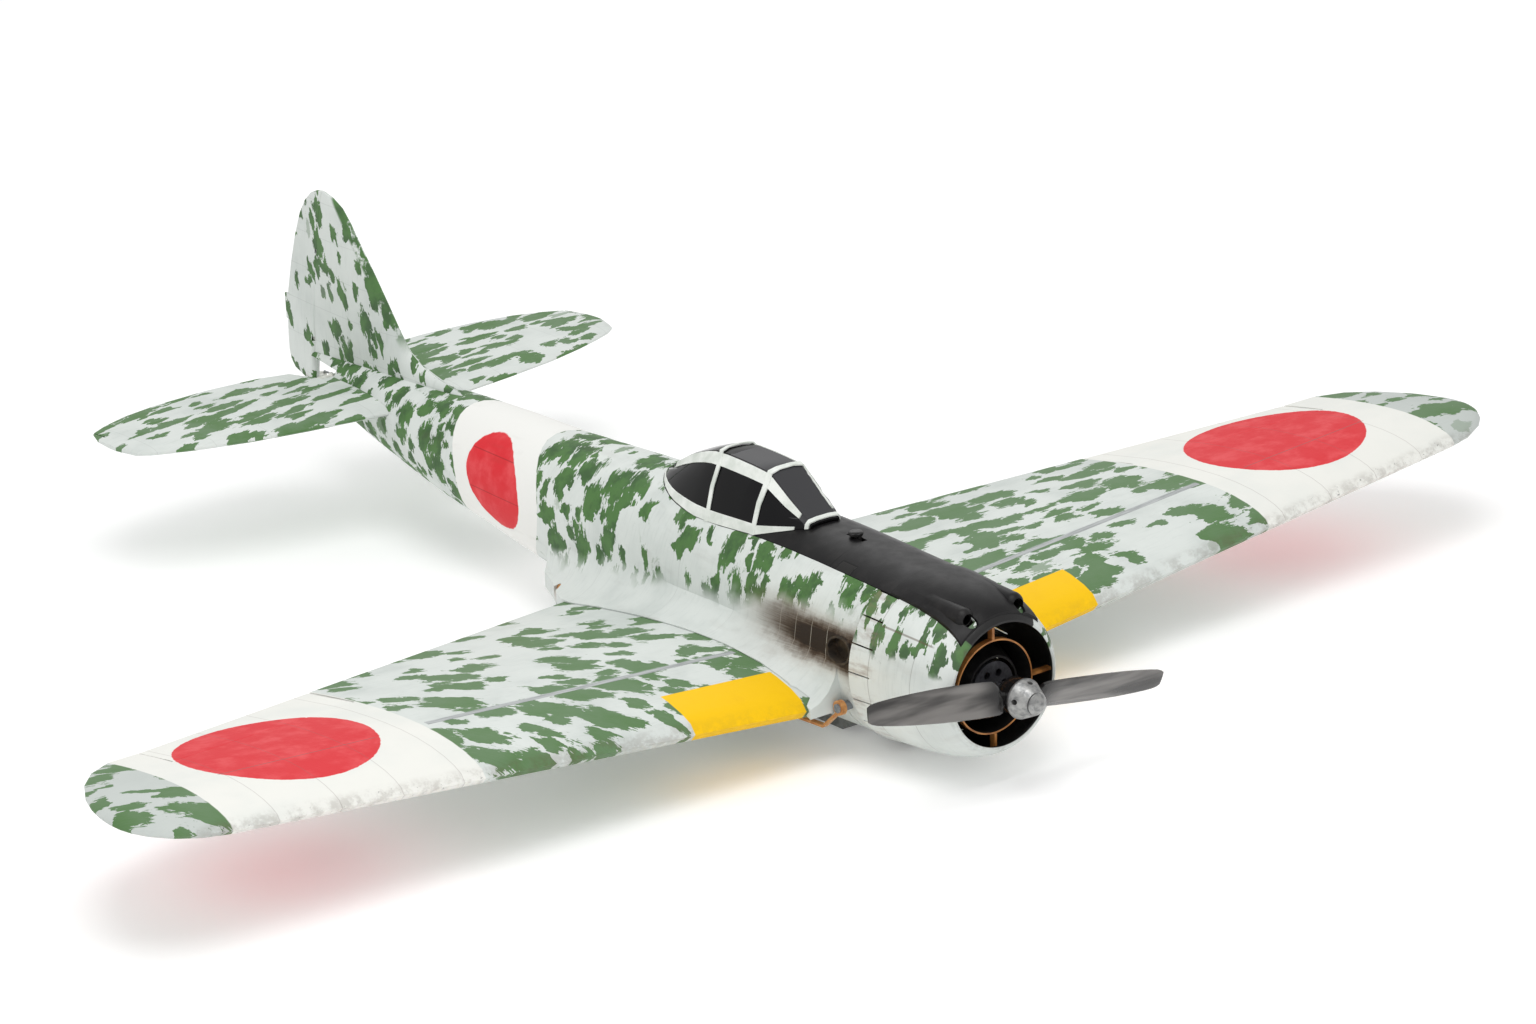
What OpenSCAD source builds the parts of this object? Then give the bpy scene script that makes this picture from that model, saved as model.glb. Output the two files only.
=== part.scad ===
// Radio-controlled foam warbird: belly-landing electric fighter model of about 1.2 m span.
// Millimetres. +X runs out along the port wing, the nose points along -Y, +Z is up,
// and the belly skid rests on Z = 0. Stations s are measured aft from the spinner tip,
// and heights h are measured from the thrust line.

/* [Airframe] */
// Wing span
span = 1200; // [1196:1:1204]
// Spinner tip to the rudder's trim tab
plane_len = 911.8; // [911:0.1:913]
// Height of the thrust line above the belly skid
thrust_h = 66; // [66:0.5:68]
// Foam wall of the fuselage shell
foam_wall = 8; // [6:0.5:9]

/* [Wing] */
// Root chord on the centre line
root_chord = 312; // [308:1:314]
// Height of the wing chord line at the centre, below the thrust line
wing_drop = 30.8; // [30:0.2:31.6]
// Rise of the wing for each millimetre of span
dihedral = 0.091; // [0.088:0.001:0.094]
// Wing thickness as a share of the chord
wing_thick = 0.12; // [0.115:0.001:0.125]
// Wing camber as a share of the chord
wing_camber = 0.02; // [0.015:0.001:0.025]
// Inner end of the aileron
aileron_in = 350; // [346:1:354]
// Outer end of the aileron
aileron_out = 515; // [510:1:518]
// Share of the chord in front of the aileron hinge
aileron_hinge = 0.735; // [0.73:0.001:0.74]

/* [Tail] */
// Station of the elevator hinge
elevator_s = 830; // [829:0.5:831]
// Height of the tailplane above the thrust line
tail_h = 37.8; // [37.5:0.1:38.1]
// Half span of the tailplane
tail_half = 229; // [227:1:231]

/* [Power] */
// Propeller diameter
prop_d = 262; // [254:1:264]
// Cowl radius at its widest
cowl_r = 62.5; // [62:0.1:63]
// Radius of the cowl's air intake
intake_r = 43.7; // [43:0.1:44.5]
// Motor bell radius
bell_r = 17.5; // [16:0.1:18]

/* [Fits] */
// Gap round each moving foam surface
move_gap = 0.6; // [0.5:0.05:0.8]
// Gap round the lift-off hatch
hatch_gap = 0.4; // [0.35:0.05:0.5]
// Gap between pieces that are glued together
glue_gap = 0.05; // [0.03:0.01:0.1]

/* [Hidden] */

$fn = 48;
half_span = span / 2;
big = 400;

// ---- colours ----
foam_c = "gainsboro";
green_c = "darkseagreen";
black_c = "#202020";
ply_c = "burlywood";
steel_c = "silver";
nylon_c = "whitesmoke";
servo_c = "royalblue";

// ---- curves and lofts ----
// A table is a list of rows, each starting with its station.
function row(x, t, i = 0) = i >= len(t) - 2 || x < t[i + 1][0] ? i : row(x, t, i + 1);
function chord_slope(t, i, j, c) = (t[j][c] - t[i][c]) / (t[j][0] - t[i][0]);
function knot_slope(t, i, c) = chord_slope(t, max(i - 1, 0), min(i + 1, len(t) - 1), c);
// Smooth value of column c at x, a cubic through the table's rows.
function curve(x, t, c = 1) =
    let (i = row(x, t), w = t[i + 1][0] - t[i][0], u = min(max((x - t[i][0]) / w, 0), 1))
    t[i][c] * (2 * u^3 - 3 * u^2 + 1) + t[i + 1][c] * (3 * u^2 - 2 * u^3)
    + w * knot_slope(t, i, c) * (u^3 - 2 * u^2 + u)
    + w * knot_slope(t, i + 1, c) * (u^3 - u^2);
function steps(a, b, n) = [for (i = [0:n]) a + (b - a) * i / n];

// Skin over a list of closed rings, each with the same even number of points.
module loft(rings, flip = false) {
    n = len(rings[0]);
    last = (len(rings) - 1) * n;
    sides = [for (i = [0:len(rings) - 2], k = [0:n - 1])
        let (a = i * n + k, b = i * n + (k + 1) % n, c = b + n, d = a + n)
        each [[a, b, c], [a, c, d]]];
    caps = [for (k = [0:n / 2 - 2])
        each [[k, n - 1 - k, n - 2 - k], [k, n - 2 - k, k + 1],
              [last + k, last + n - 2 - k, last + n - 1 - k],
              [last + k, last + k + 1, last + n - 2 - k]]];
    faces = concat(sides, caps);
    polyhedron([for (r = rings) each r], flip ? [for (f = faces) [f[0], f[2], f[1]]] : faces,
        convexity = 8);
}

// A foam or plastic moulding: its pieces blend into one skin of flat facets.
module moulding() {
    $fn = 20;
    resize([0, 0, 0]) children();
}

// The nose frame: x out to port, y the station, z the height over the thrust line.
module placed() translate([0, -plane_len / 2, thrust_h]) children();
module both() {
    children();
    mirror([1, 0, 0]) children();
}
module port_half() translate([0, -big, -big]) cube([2 * big, 4 * big, 2 * big]);

// ---- fuselage ----
// Station, half width, top and bottom of the body.
body_t = [
    [126, 60, 67, -58], [230, 60, 71, -61], [330, 56.5, 71, -59.5], [430, 51, 68, -51],
    [540, 47, 62, -37.5], [605, 44, 61, -27], [660, 40, 59.5, -20.5], [735, 32, 57.5, -7],
    [800, 22, 54, 5], [872, 8, 49, 21]];
body_front = 128;
body_back = 872;
tail_wall = 3;
function wall(s) = s < 540 ? foam_wall : foam_wall + (tail_wall - foam_wall) * (s - 540) / 332;
// Rounded section, a little squarer than an ellipse.
function round_ring(s, w, top, bot, n = 32) =
    [for (k = [0:n - 1])
        let (a = 90 - (k + 0.5) * 360 / n, p = 0.93)
        [w * sign(cos(a)) * abs(cos(a))^p, s,
         (top + bot) / 2 + (top - bot) / 2 * sign(sin(a)) * abs(sin(a))^p]];
function body_ring(s, shrink = 0) =
    round_ring(s, curve(s, body_t, 1) - shrink, curve(s, body_t, 2) - shrink,
        curve(s, body_t, 3) + shrink);
module body_skin() loft([for (s = steps(body_front, body_back, 22)) body_ring(s)], flip = true);
hollow_s = concat([body_front - 5], steps(body_front + 5, body_back + 5, 14));
module body_hollow() loft([for (s = hollow_s) body_ring(s, wall(s))], flip = true);

// Hatch outline: station and half width. The canopy's base follows the same line.
hatch_t = [
    [110, 34], [200, 34], [268, 34.5], [318, 36.5], [345, 34.5], [371, 29.5], [388, 22],
    [399, 13.5], [405, 6], [407.5, 0.8]];
hatch_front = 117;
function hatch_half(s) = curve(s, hatch_t);
module hatch_outline(grow = 0) {
    line = concat(steps(hatch_front, 330, 8), [340, 350, 360, 370, 380, 388, 395, 400, 404, 407.5]);
    side = [for (s = line) [hatch_half(s) + grow, s > hatch_front ? s + grow : s - grow]];
    polygon(concat(side, [for (i = [len(side) - 1:-1:0]) [-side[i][0], side[i][1]]]));
}
module hatch_prism(grow, low, high) translate([0, 0, low]) linear_extrude(high - low)
    hatch_outline(grow);

// ---- wing ----
wing_front = 146;
fairing_x = 84.3;
tip_front_x = 540;
tip_back_x = 520;
tip_s = 205.4;
le_sweep = 0.018;
function straight_front(x) = wing_front + le_sweep * x;
function straight_back(x) = wing_front + root_chord - 0.282 * x;
function wing_le(x) = x < tip_front_x ? straight_front(x)
    : tip_s - (tip_s - straight_front(tip_front_x))
        * sqrt(max(0, 1 - ((x - tip_front_x) / (half_span - tip_front_x))^2));
function wing_te(x) = x < tip_back_x ? straight_back(x)
    : tip_s + (straight_back(tip_back_x) - tip_s)
        * max(0, 1 - ((x - tip_back_x) / (half_span - tip_back_x))^2)^0.56;
function wing_z(x) = dihedral * x - wing_drop;
function half_thick(f, t) =
    5 * t * (0.2969 * sqrt(f) - 0.126 * f - 0.3516 * f^2 + 0.2843 * f^3 - 0.1015 * f^4);
function camber(f, m, p = 0.4) = f < p ? m / p^2 * (2 * p * f - f^2)
    : m / (1 - p)^2 * (1 - 2 * p + 2 * p * f - f^2);
te_half = 0.6;
// Height of the wing's upper (side = 1) or lower (side = -1) face over its chord line.
function foil(f, chord, side) = camber(f, wing_camber) * chord
    + side * (half_thick(f, wing_thick) * chord + te_half * f);
function wing_ring(x, grow = 0, n = 32) =
    let (le = wing_le(x) - grow, chord = wing_te(x) + grow - le)
    [for (k = [0:n - 1])
        let (a = (k + 0.5) * 360 / n, f = (1 + cos(a) / cos(180 / n)) / 2,
             side = a < 180 ? 1 : -1)
        [x, le + f * chord, wing_z(x) + foil(f, chord, side) + side * grow]];
tip_reach = half_span - tip_front_x;
tip_stations = [for (a = [0, 20, 38, 54, 67, 77, 84]) tip_front_x + tip_reach * sin(a)];
wing_stations = concat([0, fairing_x, 200, aileron_in, 430, aileron_out], tip_stations,
    [half_span - 0.05]);
module wing_skin(grow = 0) loft([for (x = wing_stations) wing_ring(x, grow)], flip = true);
module wing_root_skin(grow = 0) loft([for (x = [0, 50, 100]) wing_ring(x, grow)], flip = true);

// ---- moving surfaces ----
// Section of a moving surface: round nose about the hinge, straight back to its edge.
// A cutter (cut = true) is the space it needs, and everything behind the hinge.
function flap_ring(h, r, te, te_r, hz = 0, te_z = 0, arc = 8) =
    concat([[te, te_z + te_r], [h + 0.1, hz + r]],
        [for (i = [0:arc - 1]) let (a = 90 + (i + 0.5) * 180 / arc)
            [h + r * cos(a), hz + r * sin(a)]],
        [[h + 0.1, hz - r], [te, te_z - te_r]]);
function flap_cut_ring(h, r, te, hz = 0, tall = 30, arc = 8) =
    concat([[te + 15, hz + tall], [h, hz + tall]],
        [for (i = [0:arc - 1]) let (a = 90 + i * 180 / (arc - 1))
            [h + r * cos(a), hz + r * sin(a)]],
        [[h, hz - tall], [te + 15, hz - tall]]);
end_gap = 1.5;

function aileron_s(x) = wing_le(x) + aileron_hinge * (wing_te(x) - wing_le(x));
function aileron_z(x) = wing_z(x) + camber(aileron_hinge, wing_camber) * (wing_te(x) - wing_le(x));
function aileron_r(x) = half_thick(aileron_hinge, wing_thick) * (wing_te(x) - wing_le(x))
    + te_half * aileron_hinge;
aileron_x = [aileron_in, 400, 450, aileron_out];
hinge_in = [aileron_in, aileron_s(aileron_in), aileron_z(aileron_in)];
hinge_out = [aileron_out, aileron_s(aileron_out), aileron_z(aileron_out)];
module aileron_foam() loft([for (x = aileron_x)
    let (e = x == aileron_in ? end_gap : x == aileron_out ? -end_gap : 0, u = x + e)
    [for (p = flap_ring(aileron_s(u), aileron_r(u), wing_te(u), te_half, aileron_z(u), wing_z(u)))
        [u, p[0], p[1]]]], flip = true);
module aileron_space() loft([for (x = aileron_x)
    [for (p = flap_cut_ring(aileron_s(x), aileron_r(x) + move_gap, wing_te(x), aileron_z(x)))
        [x, p[0], p[1]]]], flip = true);

// Frame whose X runs along a line from p to q, with its origin at share u of the way.
function unit(v) = v / norm(v);
module along(p, q, u = 0) {
    x = unit(q - p);
    y = unit(cross([0, 0, 1], x));
    z = cross(x, y);
    o = p + u * (q - p);
    multmatrix([[x[0], y[0], z[0], o[0]], [x[1], y[1], z[1], o[1]],
                [x[2], y[2], z[2], o[2]], [0, 0, 0, 1]]) children();
}

// ---- tailplane ----
tail_out_t = [ // half span share, leading edge, trailing edge
    [0, 722, 852], [0.08, 725, 857], [0.19, 731, 869], [0.44, 740, 874.5], [0.61, 748, 872.5],
    [0.76, 758.5, 867], [0.87, 768, 858.5], [0.94, 776, 850], [0.98, 786, 842], [1, 806, 824]];
function tail_le(x) = curve(x / tail_half, tail_out_t, 1);
function tail_te(x) = curve(x / tail_half, tail_out_t, 2);
tail_thick = 0.075;
function tail_foil(f, chord) = half_thick(f, tail_thick) * chord + te_half;
function tail_ring(x, grow = 0, n = 20) =
    let (le = tail_le(abs(x)) - grow, chord = tail_te(abs(x)) + grow - le)
    [for (k = [0:n - 1])
        let (a = (k + 0.5) * 360 / n, f = (1 + cos(a) / cos(180 / n)) / 2,
             side = a < 180 ? 1 : -1)
        [x, le + f * chord, tail_h + side * (tail_foil(f, chord) + grow)]];
tail_x = [for (u = [0, 0.2, 0.4, 0.6, 0.75, 0.86, 0.93, 0.97, 0.995]) u * tail_half];
elevator_root = 24;
elevator_tip = 0.97 * tail_half;
function elevator_r(x) = tail_foil((elevator_s - tail_le(x)) / (tail_te(x) - tail_le(x)),
    tail_te(x) - tail_le(x));
elevator_x = concat([elevator_root, 32], [for (u = [0.25, 0.45, 0.65, 0.8, 0.9]) u * tail_half],
    [elevator_tip]);
module elevator_foam() loft([for (x = elevator_x)
    let (u = x == elevator_tip ? x - end_gap : x,
         te = x == elevator_root ? tail_te(x) - 14 : tail_te(u))
    [for (p = flap_ring(elevator_s, elevator_r(u), te, te_half)) [u, p[0], tail_h + p[1]]]],
    flip = true);
module elevator_space() loft([for (x = [0, 60, 120, 180, elevator_tip])
    [for (p = flap_cut_ring(elevator_s, elevator_r(x) + move_gap, 880))
        [x, p[0], tail_h + p[1]]]], flip = true);

// ---- fin and rudder ----
fin_t = [ // height, leading edge
    [44, 655], [58, 665], [63, 690], [68, 716], [78, 738], [100, 757.5], [122, 775], [150, 799],
    [170, 816], [179, 828], [184.3, 846]];
rudder_t = [ // height, trailing edge
    [23, 889], [27, 902], [34, 909], [45, 911], [66, 910], [90, 907], [120, 898.5], [148, 888],
    [168, 877], [180, 864], [184.3, 853]];
rudder_low = [0, 878.5, 26.8];
rudder_high = [0, 854, 163.5];
function rudder_s(z) = rudder_low[1]
    + (rudder_high[1] - rudder_low[1]) * (z - rudder_low[2]) / (rudder_high[2] - rudder_low[2]);
function fin_le(z) = curve(z, fin_t);
function rudder_te(z) = curve(z, rudder_t);
function rudder_r(z) = 4.3 - 2 * max(0, z - 40) / 145;
function fin_ring(z, grow = 0, n = 20) =
    let (le = fin_le(z) - grow, chord = rudder_te(z) - le,
         t = min(0.075, 10.5 / chord))
    [for (k = [0:n - 1])
        let (a = (k + 0.5) * 360 / n, f = (1 + cos(a) / cos(180 / n)) / 2,
             side = a < 180 ? 1 : -1)
        [side * (half_thick(f, t) * chord + te_half + grow), le + f * chord, z]];
fin_z = [47, 54, 60, 65, 70, 78, 90, 110, 130, 150, 165, 175, 181, 184];
rudder_z = [24, 28, 34, 42, 56, 66, 90, 115, 140, 160, 172, 180, 183.5];
module rudder_foam() loft([for (z = rudder_z)
    [for (p = flap_ring(rudder_s(z), rudder_r(z), rudder_te(z), te_half)) [p[1], p[0], z]]]);
module rudder_space() loft([for (z = [10, 40, 100, 190])
    [for (p = flap_cut_ring(rudder_s(z), rudder_r(z) + move_gap, 915)) [p[1], p[0], z]]]);
// Trim tab on the rudder's trailing edge.
module trim_tab() hull() {
    translate([-1.6, 896, 66.5]) cube([3.2, 1, 22]);
    translate([-0.8, 910.5, 67]) cube([1.6, 1.3, 21]);
}

// ---- hinges ----
lug_w = 3;
lug_r = 1.9;
pin_r = 0.65;
pin_len = 9;
// A lug stands in the fixed surface, and a pin through it lies in the moving one.
module lug(reach = 12) rotate([0, 90, 0]) translate([0, 0, -lug_w / 2]) difference() {
    union() {
        cylinder(h = lug_w, r = lug_r);
        translate([-1.1, -reach, 0]) cube([2.2, reach, lug_w]);
    }
    translate([0, 0, -1]) cylinder(h = lug_w + 2, r = pin_r + 0.05);
}
module lug_slot(reach = 12) translate([-lug_w / 2 - 0.5, -reach - 0.3, -lug_r - 0.4])
    cube([lug_w + 1, reach + lug_r + 0.9, 2 * lug_r + 0.8]);
// The moving half's slot, wide enough for its whole swing past the lug.
module swing_slot(swing) hull() for (a = [-swing, swing]) rotate([a, 0, 0]) lug_slot();
module pin(grow = 0) rotate([0, 90, 0])
    cylinder(h = pin_len + 2 * grow, r = pin_r + grow, center = true);

// The sites of all hinges: each line and the shares along it.
aileron_sites = [0.12, 0.88];
elevator_line = [[0, elevator_s, tail_h], [elevator_tip, elevator_s, tail_h]];
elevator_sites = [0.25, 0.62];
rudder_sites = [0.24, 0.78];
module at_aileron(us = aileron_sites) for (u = us) along(hinge_in, hinge_out, u) children();
module at_elevator(us = elevator_sites) for (u = us)
    along(elevator_line[0], elevator_line[1], u) children();
// The rudder's frame: X runs up the hinge line and Y runs aft.
module rudder_frame(u) {
    d = unit(rudder_high - rudder_low);
    o = rudder_low + u * (rudder_high - rudder_low);
    multmatrix([[0, 0, -1, o[0]], [d[1], d[2], 0, o[1]], [d[2], -d[1], 0, o[2]], [0, 0, 0, 1]])
        children();
}
module at_rudder(us = rudder_sites) for (u = us) rudder_frame(u) children();

// ---- linkages ----
arm_len = 12;
tail_arm = 10;
arm_t = 1.6;
hole_r = 0.85;
rod_r = 0.8;
// Servo: its output axis is X, its arm plane is x = 0 and its body lies at x < 0.
servo_size = [22.5, 23, 12];
module servo_body() {
    difference() {
        union() {
            translate([-servo_size[0] - 3, -6, -servo_size[2] / 2]) cube(servo_size);
            translate([-10.5, -10.5, -servo_size[2] / 2]) cube([2, 32, servo_size[2]]);
            translate([-3.6, 0, 0]) rotate([0, 90, 0]) cylinder(h = 1.8, r = 5.6);
            translate([-3, 0, 0]) rotate([0, 90, 0]) cylinder(h = 4.4, r = 2);
        }
        for (y = [-8.4, 19.4]) translate([-12, y, 0]) rotate([0, 90, 0]) cylinder(h = 5, r = 1);
    }
}
// Arm: it hangs along -Z from the output axis to its rod hole.
module servo_arm(reach) difference() {
    union() {
        translate([-1.4, 0, 0]) rotate([0, 90, 0]) cylinder(h = 3.6, r = 3.4);
        rotate([0, 90, 0]) linear_extrude(arm_t) hull() {
            circle(r = 3);
            translate([reach, 0]) circle(r = 2);
        }
    }
    translate([-2, 0, 0]) rotate([0, 90, 0]) cylinder(h = 6, r = 2.05);
    translate([-2, 0, -reach]) rotate([0, 90, 0]) cylinder(h = 6, r = hole_r);
}
// Horn on a moving surface: a plate with its hole straight below the hinge axis.
module horn(reach, root, aft) rotate([0, 90, 0]) difference() {
    linear_extrude(arm_t) hull() {
        translate([reach, 0]) circle(r = 2.2);
        translate([root, 1]) square([1, aft]);
    }
    translate([reach, 0, -1]) cylinder(h = 4, r = hole_r + 0.3);
}
// Rod: it lies beside the arm and the horn, with a short bent pin into each hole.
// It may lean by an angle towards -X, where the hinge line isn't square to it.
module pushrod(reach, run, lean = 0) {
    beside = arm_t + 0.5 + rod_r;
    translate([beside, 0, -reach]) rotate([-90, 0, lean]) cylinder(h = run, r = rod_r);
    for (u = [0, run]) translate([-u * sin(lean), u * cos(lean), -reach]) {
        translate([-0.6, 0, 0]) rotate([0, 90, 0]) cylinder(h = beside + 0.6, r = hole_r - 0.07);
        translate([beside, 0, 0]) sphere(r = rod_r + 0.01);
    }
}

aileron_run = 62;
aileron_site = 0.5;
module aileron_link_frame() along(hinge_in, hinge_out, aileron_site)
    translate([0, -aileron_run, 0]) children();
elevator_rod_x = -9;
elevator_servo_s = 372;
elevator_run = elevator_s - elevator_servo_s;
module elevator_link_frame() translate([elevator_rod_x, elevator_servo_s, tail_h]) children();
// The rudder's servo turns about an axis parallel to the rudder's own hinge.
rudder_servo_s = 338;
rudder_arm_h = 25;
rudder_run = rudder_s(rudder_arm_h) - rudder_servo_s;
rudder_lean = atan2(rudder_low[1] - rudder_high[1], rudder_high[2] - rudder_low[2]);
module rudder_link_frame(s) {
    d = unit(rudder_high - rudder_low);
    // Local X runs up the hinge line and local -Z points to port.
    multmatrix([[0, 0, -1, 0], [d[1], d[2], 0, s], [d[2], -d[1], 0, rudder_arm_h], [0, 0, 0, 1]])
        children();
}

// ---- foam airframe ----
module saddle_space() both() wing_root_skin(0.25);
module fairing() {
    // A thin sleeve over the wing root, with a hollow curve up to the body side.
    front = [146, 170, 200, 240, 290, 340, 390, 425, 440, 455, 475, 500];
    reach = [fairing_x, fairing_x, fairing_x, fairing_x, fairing_x, fairing_x, fairing_x,
        fairing_x, 81, 74, 63, 52];
    loft([for (i = [0:len(front) - 1])
        let (s = front[i], x1 = reach[i], x0 = 36,
             f = min(max((s - wing_le(x1)) / (wing_te(x1) - wing_le(x1)), 0), 1),
             low = wing_z(x1) + foil(f, wing_te(x1) - wing_le(x1), 1) + 1.2,
             high = curve(s, body_t, 2) * 0.1 + 12,
             side = curve(s, body_t, 1) - 3,
             base = low - (s < 150 ? 7 : 12))
        concat([[x0, s, high]],
            [for (u = [0, 0.2, 0.4, 0.6, 0.8, 1]) let (v = 1 - u)
                [v^2 * side + 2 * u * v * (side + 3) + u^2 * x1, s,
                 v^2 * high + 2 * u * v * (low + 4) + u^2 * low]],
            [for (u = [0:6]) [x1 + (x0 - x1) * u / 6, s, base]])], flip = true);
}
dowel_front = [140, -24];
dowel_back = [462, -26];
dowel_r = 3.2;
module dowel(at, half, grow = 0) translate([0, at[0], at[1]]) rotate([0, 90, 0])
    cylinder(h = 2 * half, r = dowel_r + grow, center = true);

module fuselage_half() moulding() difference() {
    union() {
        body_skin();
        difference() {
            fairing();
            body_hollow();
        }
    }
    body_hollow();
    saddle_space();
    // Below the wing root the belly pan takes over.
    translate([-big, 146, -big]) cube([2 * big, 312, big - wing_drop]);
    hatch_prism(0, 25, 120);
    both() dowel(dowel_front, 80, glue_gap);
    dowel(dowel_back, 80, glue_gap);
    tail_core(0.1);
    fin_core(0.1);
    rudder_space();
    // Room for the elevator joiner, and the rudder rod's way out on the port side.
    translate([-40, elevator_s - 4.5, tail_h - 8]) cube([80, 60, 16]);
    translate([4, 790, rudder_arm_h - 6]) cube([30, 100, 11]);
    exhaust_oval(0.1, 0, 80);
    band_room();
    mirror([1, 0, 0]) port_half();
}
module tail_core(grow) loft([for (x = [-60, 0, 60]) tail_ring(x, grow)], flip = true);
module fin_core(grow) loft([for (z = [46, 54, 60, 65, 70, 80]) fin_ring(z, grow)]);
module fuselage_left_half() color(foam_c) placed() fuselage_half();
module fuselage_right_half() color(foam_c) placed() mirror([1, 0, 0]) fuselage_half();

module vertical_fin() color(foam_c) placed() moulding() difference() {
    loft([for (z = fin_z) fin_ring(z)]);
    rudder_space();
    at_rudder() lug_slot();
}
module horizontal_stabilizer() color(foam_c) placed() moulding() difference() {
    loft([for (x = concat([for (i = [len(tail_x) - 1:-1:1]) -tail_x[i]], tail_x)) tail_ring(x)],
        flip = true);
    both() elevator_space();
    both() at_elevator() lug_slot();
}
spar_s = 225;
spar_size = [5, 3];
function spar_top(x) = wing_z(x)
    + foil((spar_s - wing_le(x)) / (wing_te(x) - wing_le(x)), wing_te(x) - wing_le(x), 1);
// Flat carbon strip let into the wing's upper face.
module spar(grow = 0, from = 88, to = 345) hull() for (x = [from - grow, to + grow])
    translate([x, spar_s - spar_size[0] / 2 - grow, spar_top(x) - spar_size[1] - grow])
        cube([0.1, spar_size[0] + 2 * grow, spar_size[1] + 2 * grow]);
module servo_pocket() aileron_link_frame() {
    translate([-26.2, -6.7, -40]) cube([23.9, 24.4, 46.8]);
    translate([-11.2, -11.2, -40]) cube([3.4, 33.4, 46.8]);
    translate([-4, -11, -40]) cube([8.5, 22, 44.5]);
}
joiner_x = 70;
joiner_size = [16, 6];
module joiner_shape(grow = 0) hull() for (x = [0, joiner_x])
    translate([x - 0.05, 242 - grow, wing_z(x) + 1 - grow])
        cube([0.1 + grow, joiner_size[0] + 2 * grow, joiner_size[1] + 2 * grow]);
module wing_half() moulding() difference() {
    wing_skin();
    aileron_space();
    at_aileron() lug_slot();
    spar(glue_gap);
    servo_pocket();
    joiner_shape(glue_gap);
    // A nick where the horn swings past the edge.
    along(hinge_in, hinge_out, aileron_site) translate([-0.6, -5.5, -12])
        cube([arm_t + 1.2, 6, 9]);
}
module wing_left() color(green_c) placed() wing_half();
module wing_right() color(green_c) placed() mirror([1, 0, 0]) wing_half();
module wing_spars() color("dimgray") placed() both() spar();
module spar_joiner() color("dimgray") placed() both() joiner_shape();

// Foam belly piece under the wing roots, shaped like the rest of the body.
module belly_pan() color(foam_c) placed() moulding() difference() {
    intersection() {
        body_skin();
        translate([-big, 147, -big]) cube([2 * big, 309, big - wing_drop - 0.5]);
    }
    both() wing_root_skin(0.15);
    dowel(dowel_back, 80, 1);
    skid_shape(glue_gap);
}
skid = [44, 190, 350];
module skid_shape(grow = 0) hull() {
    translate([-skid[0] / 2 - grow, skid[1] - grow, -thrust_h])
        cube([skid[0] + 2 * grow, skid[2] - skid[1] + 2 * grow, 1]);
    translate([-skid[0] / 2 - grow, skid[1] - 14 - grow, -thrust_h + 9])
        cube([skid[0] + 2 * grow, skid[2] - skid[1] + 44 + 2 * grow, 2 + grow]);
}
module belly_skid() color("gray") placed() skid_shape();

module wing_dowels() color("lightslategray") placed() {
    dowel(dowel_front, 66);
    dowel(dowel_back, 58);
}
band_w = 4;
band_t = 2;
band_ring = dowel_r + 0.1;
module band_outline(grow = 0) {
    translate(dowel_front) circle(r = band_ring + band_t + grow, $fn = 24);
    translate(dowel_back) circle(r = band_ring + band_t + grow, $fn = 24);
    for (i = [0:len(band_route) - 2]) hull() for (j = [i, i + 1])
        translate(band_route[j]) circle(r = band_t / 2 + grow, $fn = 12);
}
// Doubled rubber band from one dowel, under the wing root, to the other dowel.
module band() translate([61, 0, 0]) rotate([90, 0, 90]) linear_extrude(band_w) difference() {
    band_outline();
    translate(dowel_front) circle(r = band_ring, $fn = 24);
    translate(dowel_back) circle(r = band_ring, $fn = 24);
}
module band_room() translate([60.5, 0, 0]) rotate([90, 0, 90]) linear_extrude(band_w + 8)
    band_outline(0.4);
band_route = [[142, -28.3], [158, -42.5], [200, -44.5], [300, -42], [400, -34], [460, -30.3]];
module wing_bands() color("sandybrown") placed() both() band();

// ---- nose ----
cowl_h = 4;
cowl_wall = 1.6;
// Station and outer radius of the cowl.
cowl_t = [[41, 45.6], [44, 49], [50, 52.6], [57, 55.3], [70, 58.5], [88, 61], [108, 62.4]];
cowl_back = 108;
function cowl_out(s) = curve(s, cowl_t) * cowl_r / 62.5;
module about_thrust(h = 0) translate([0, 0, h]) rotate([-90, 0, 0]) children();
cowl_s = [44, 47, 50, 57, 70, 88, cowl_back];
module cowl_shell() color(foam_c) placed() difference() {
    about_thrust(cowl_h) rotate_extrude($fn = 96) {
        line = concat([41, 42.5], cowl_s);
        polygon(concat([for (s = line) [cowl_out(s), s]],
            [for (i = [len(line) - 1:-1:1]) [cowl_out(line[i]) - cowl_wall, line[i]]],
            [[intake_r, 42.5], [intake_r + 0.4, 41]]));
    }
    gun_tubes(4.7, 48, 84);
}
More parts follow.
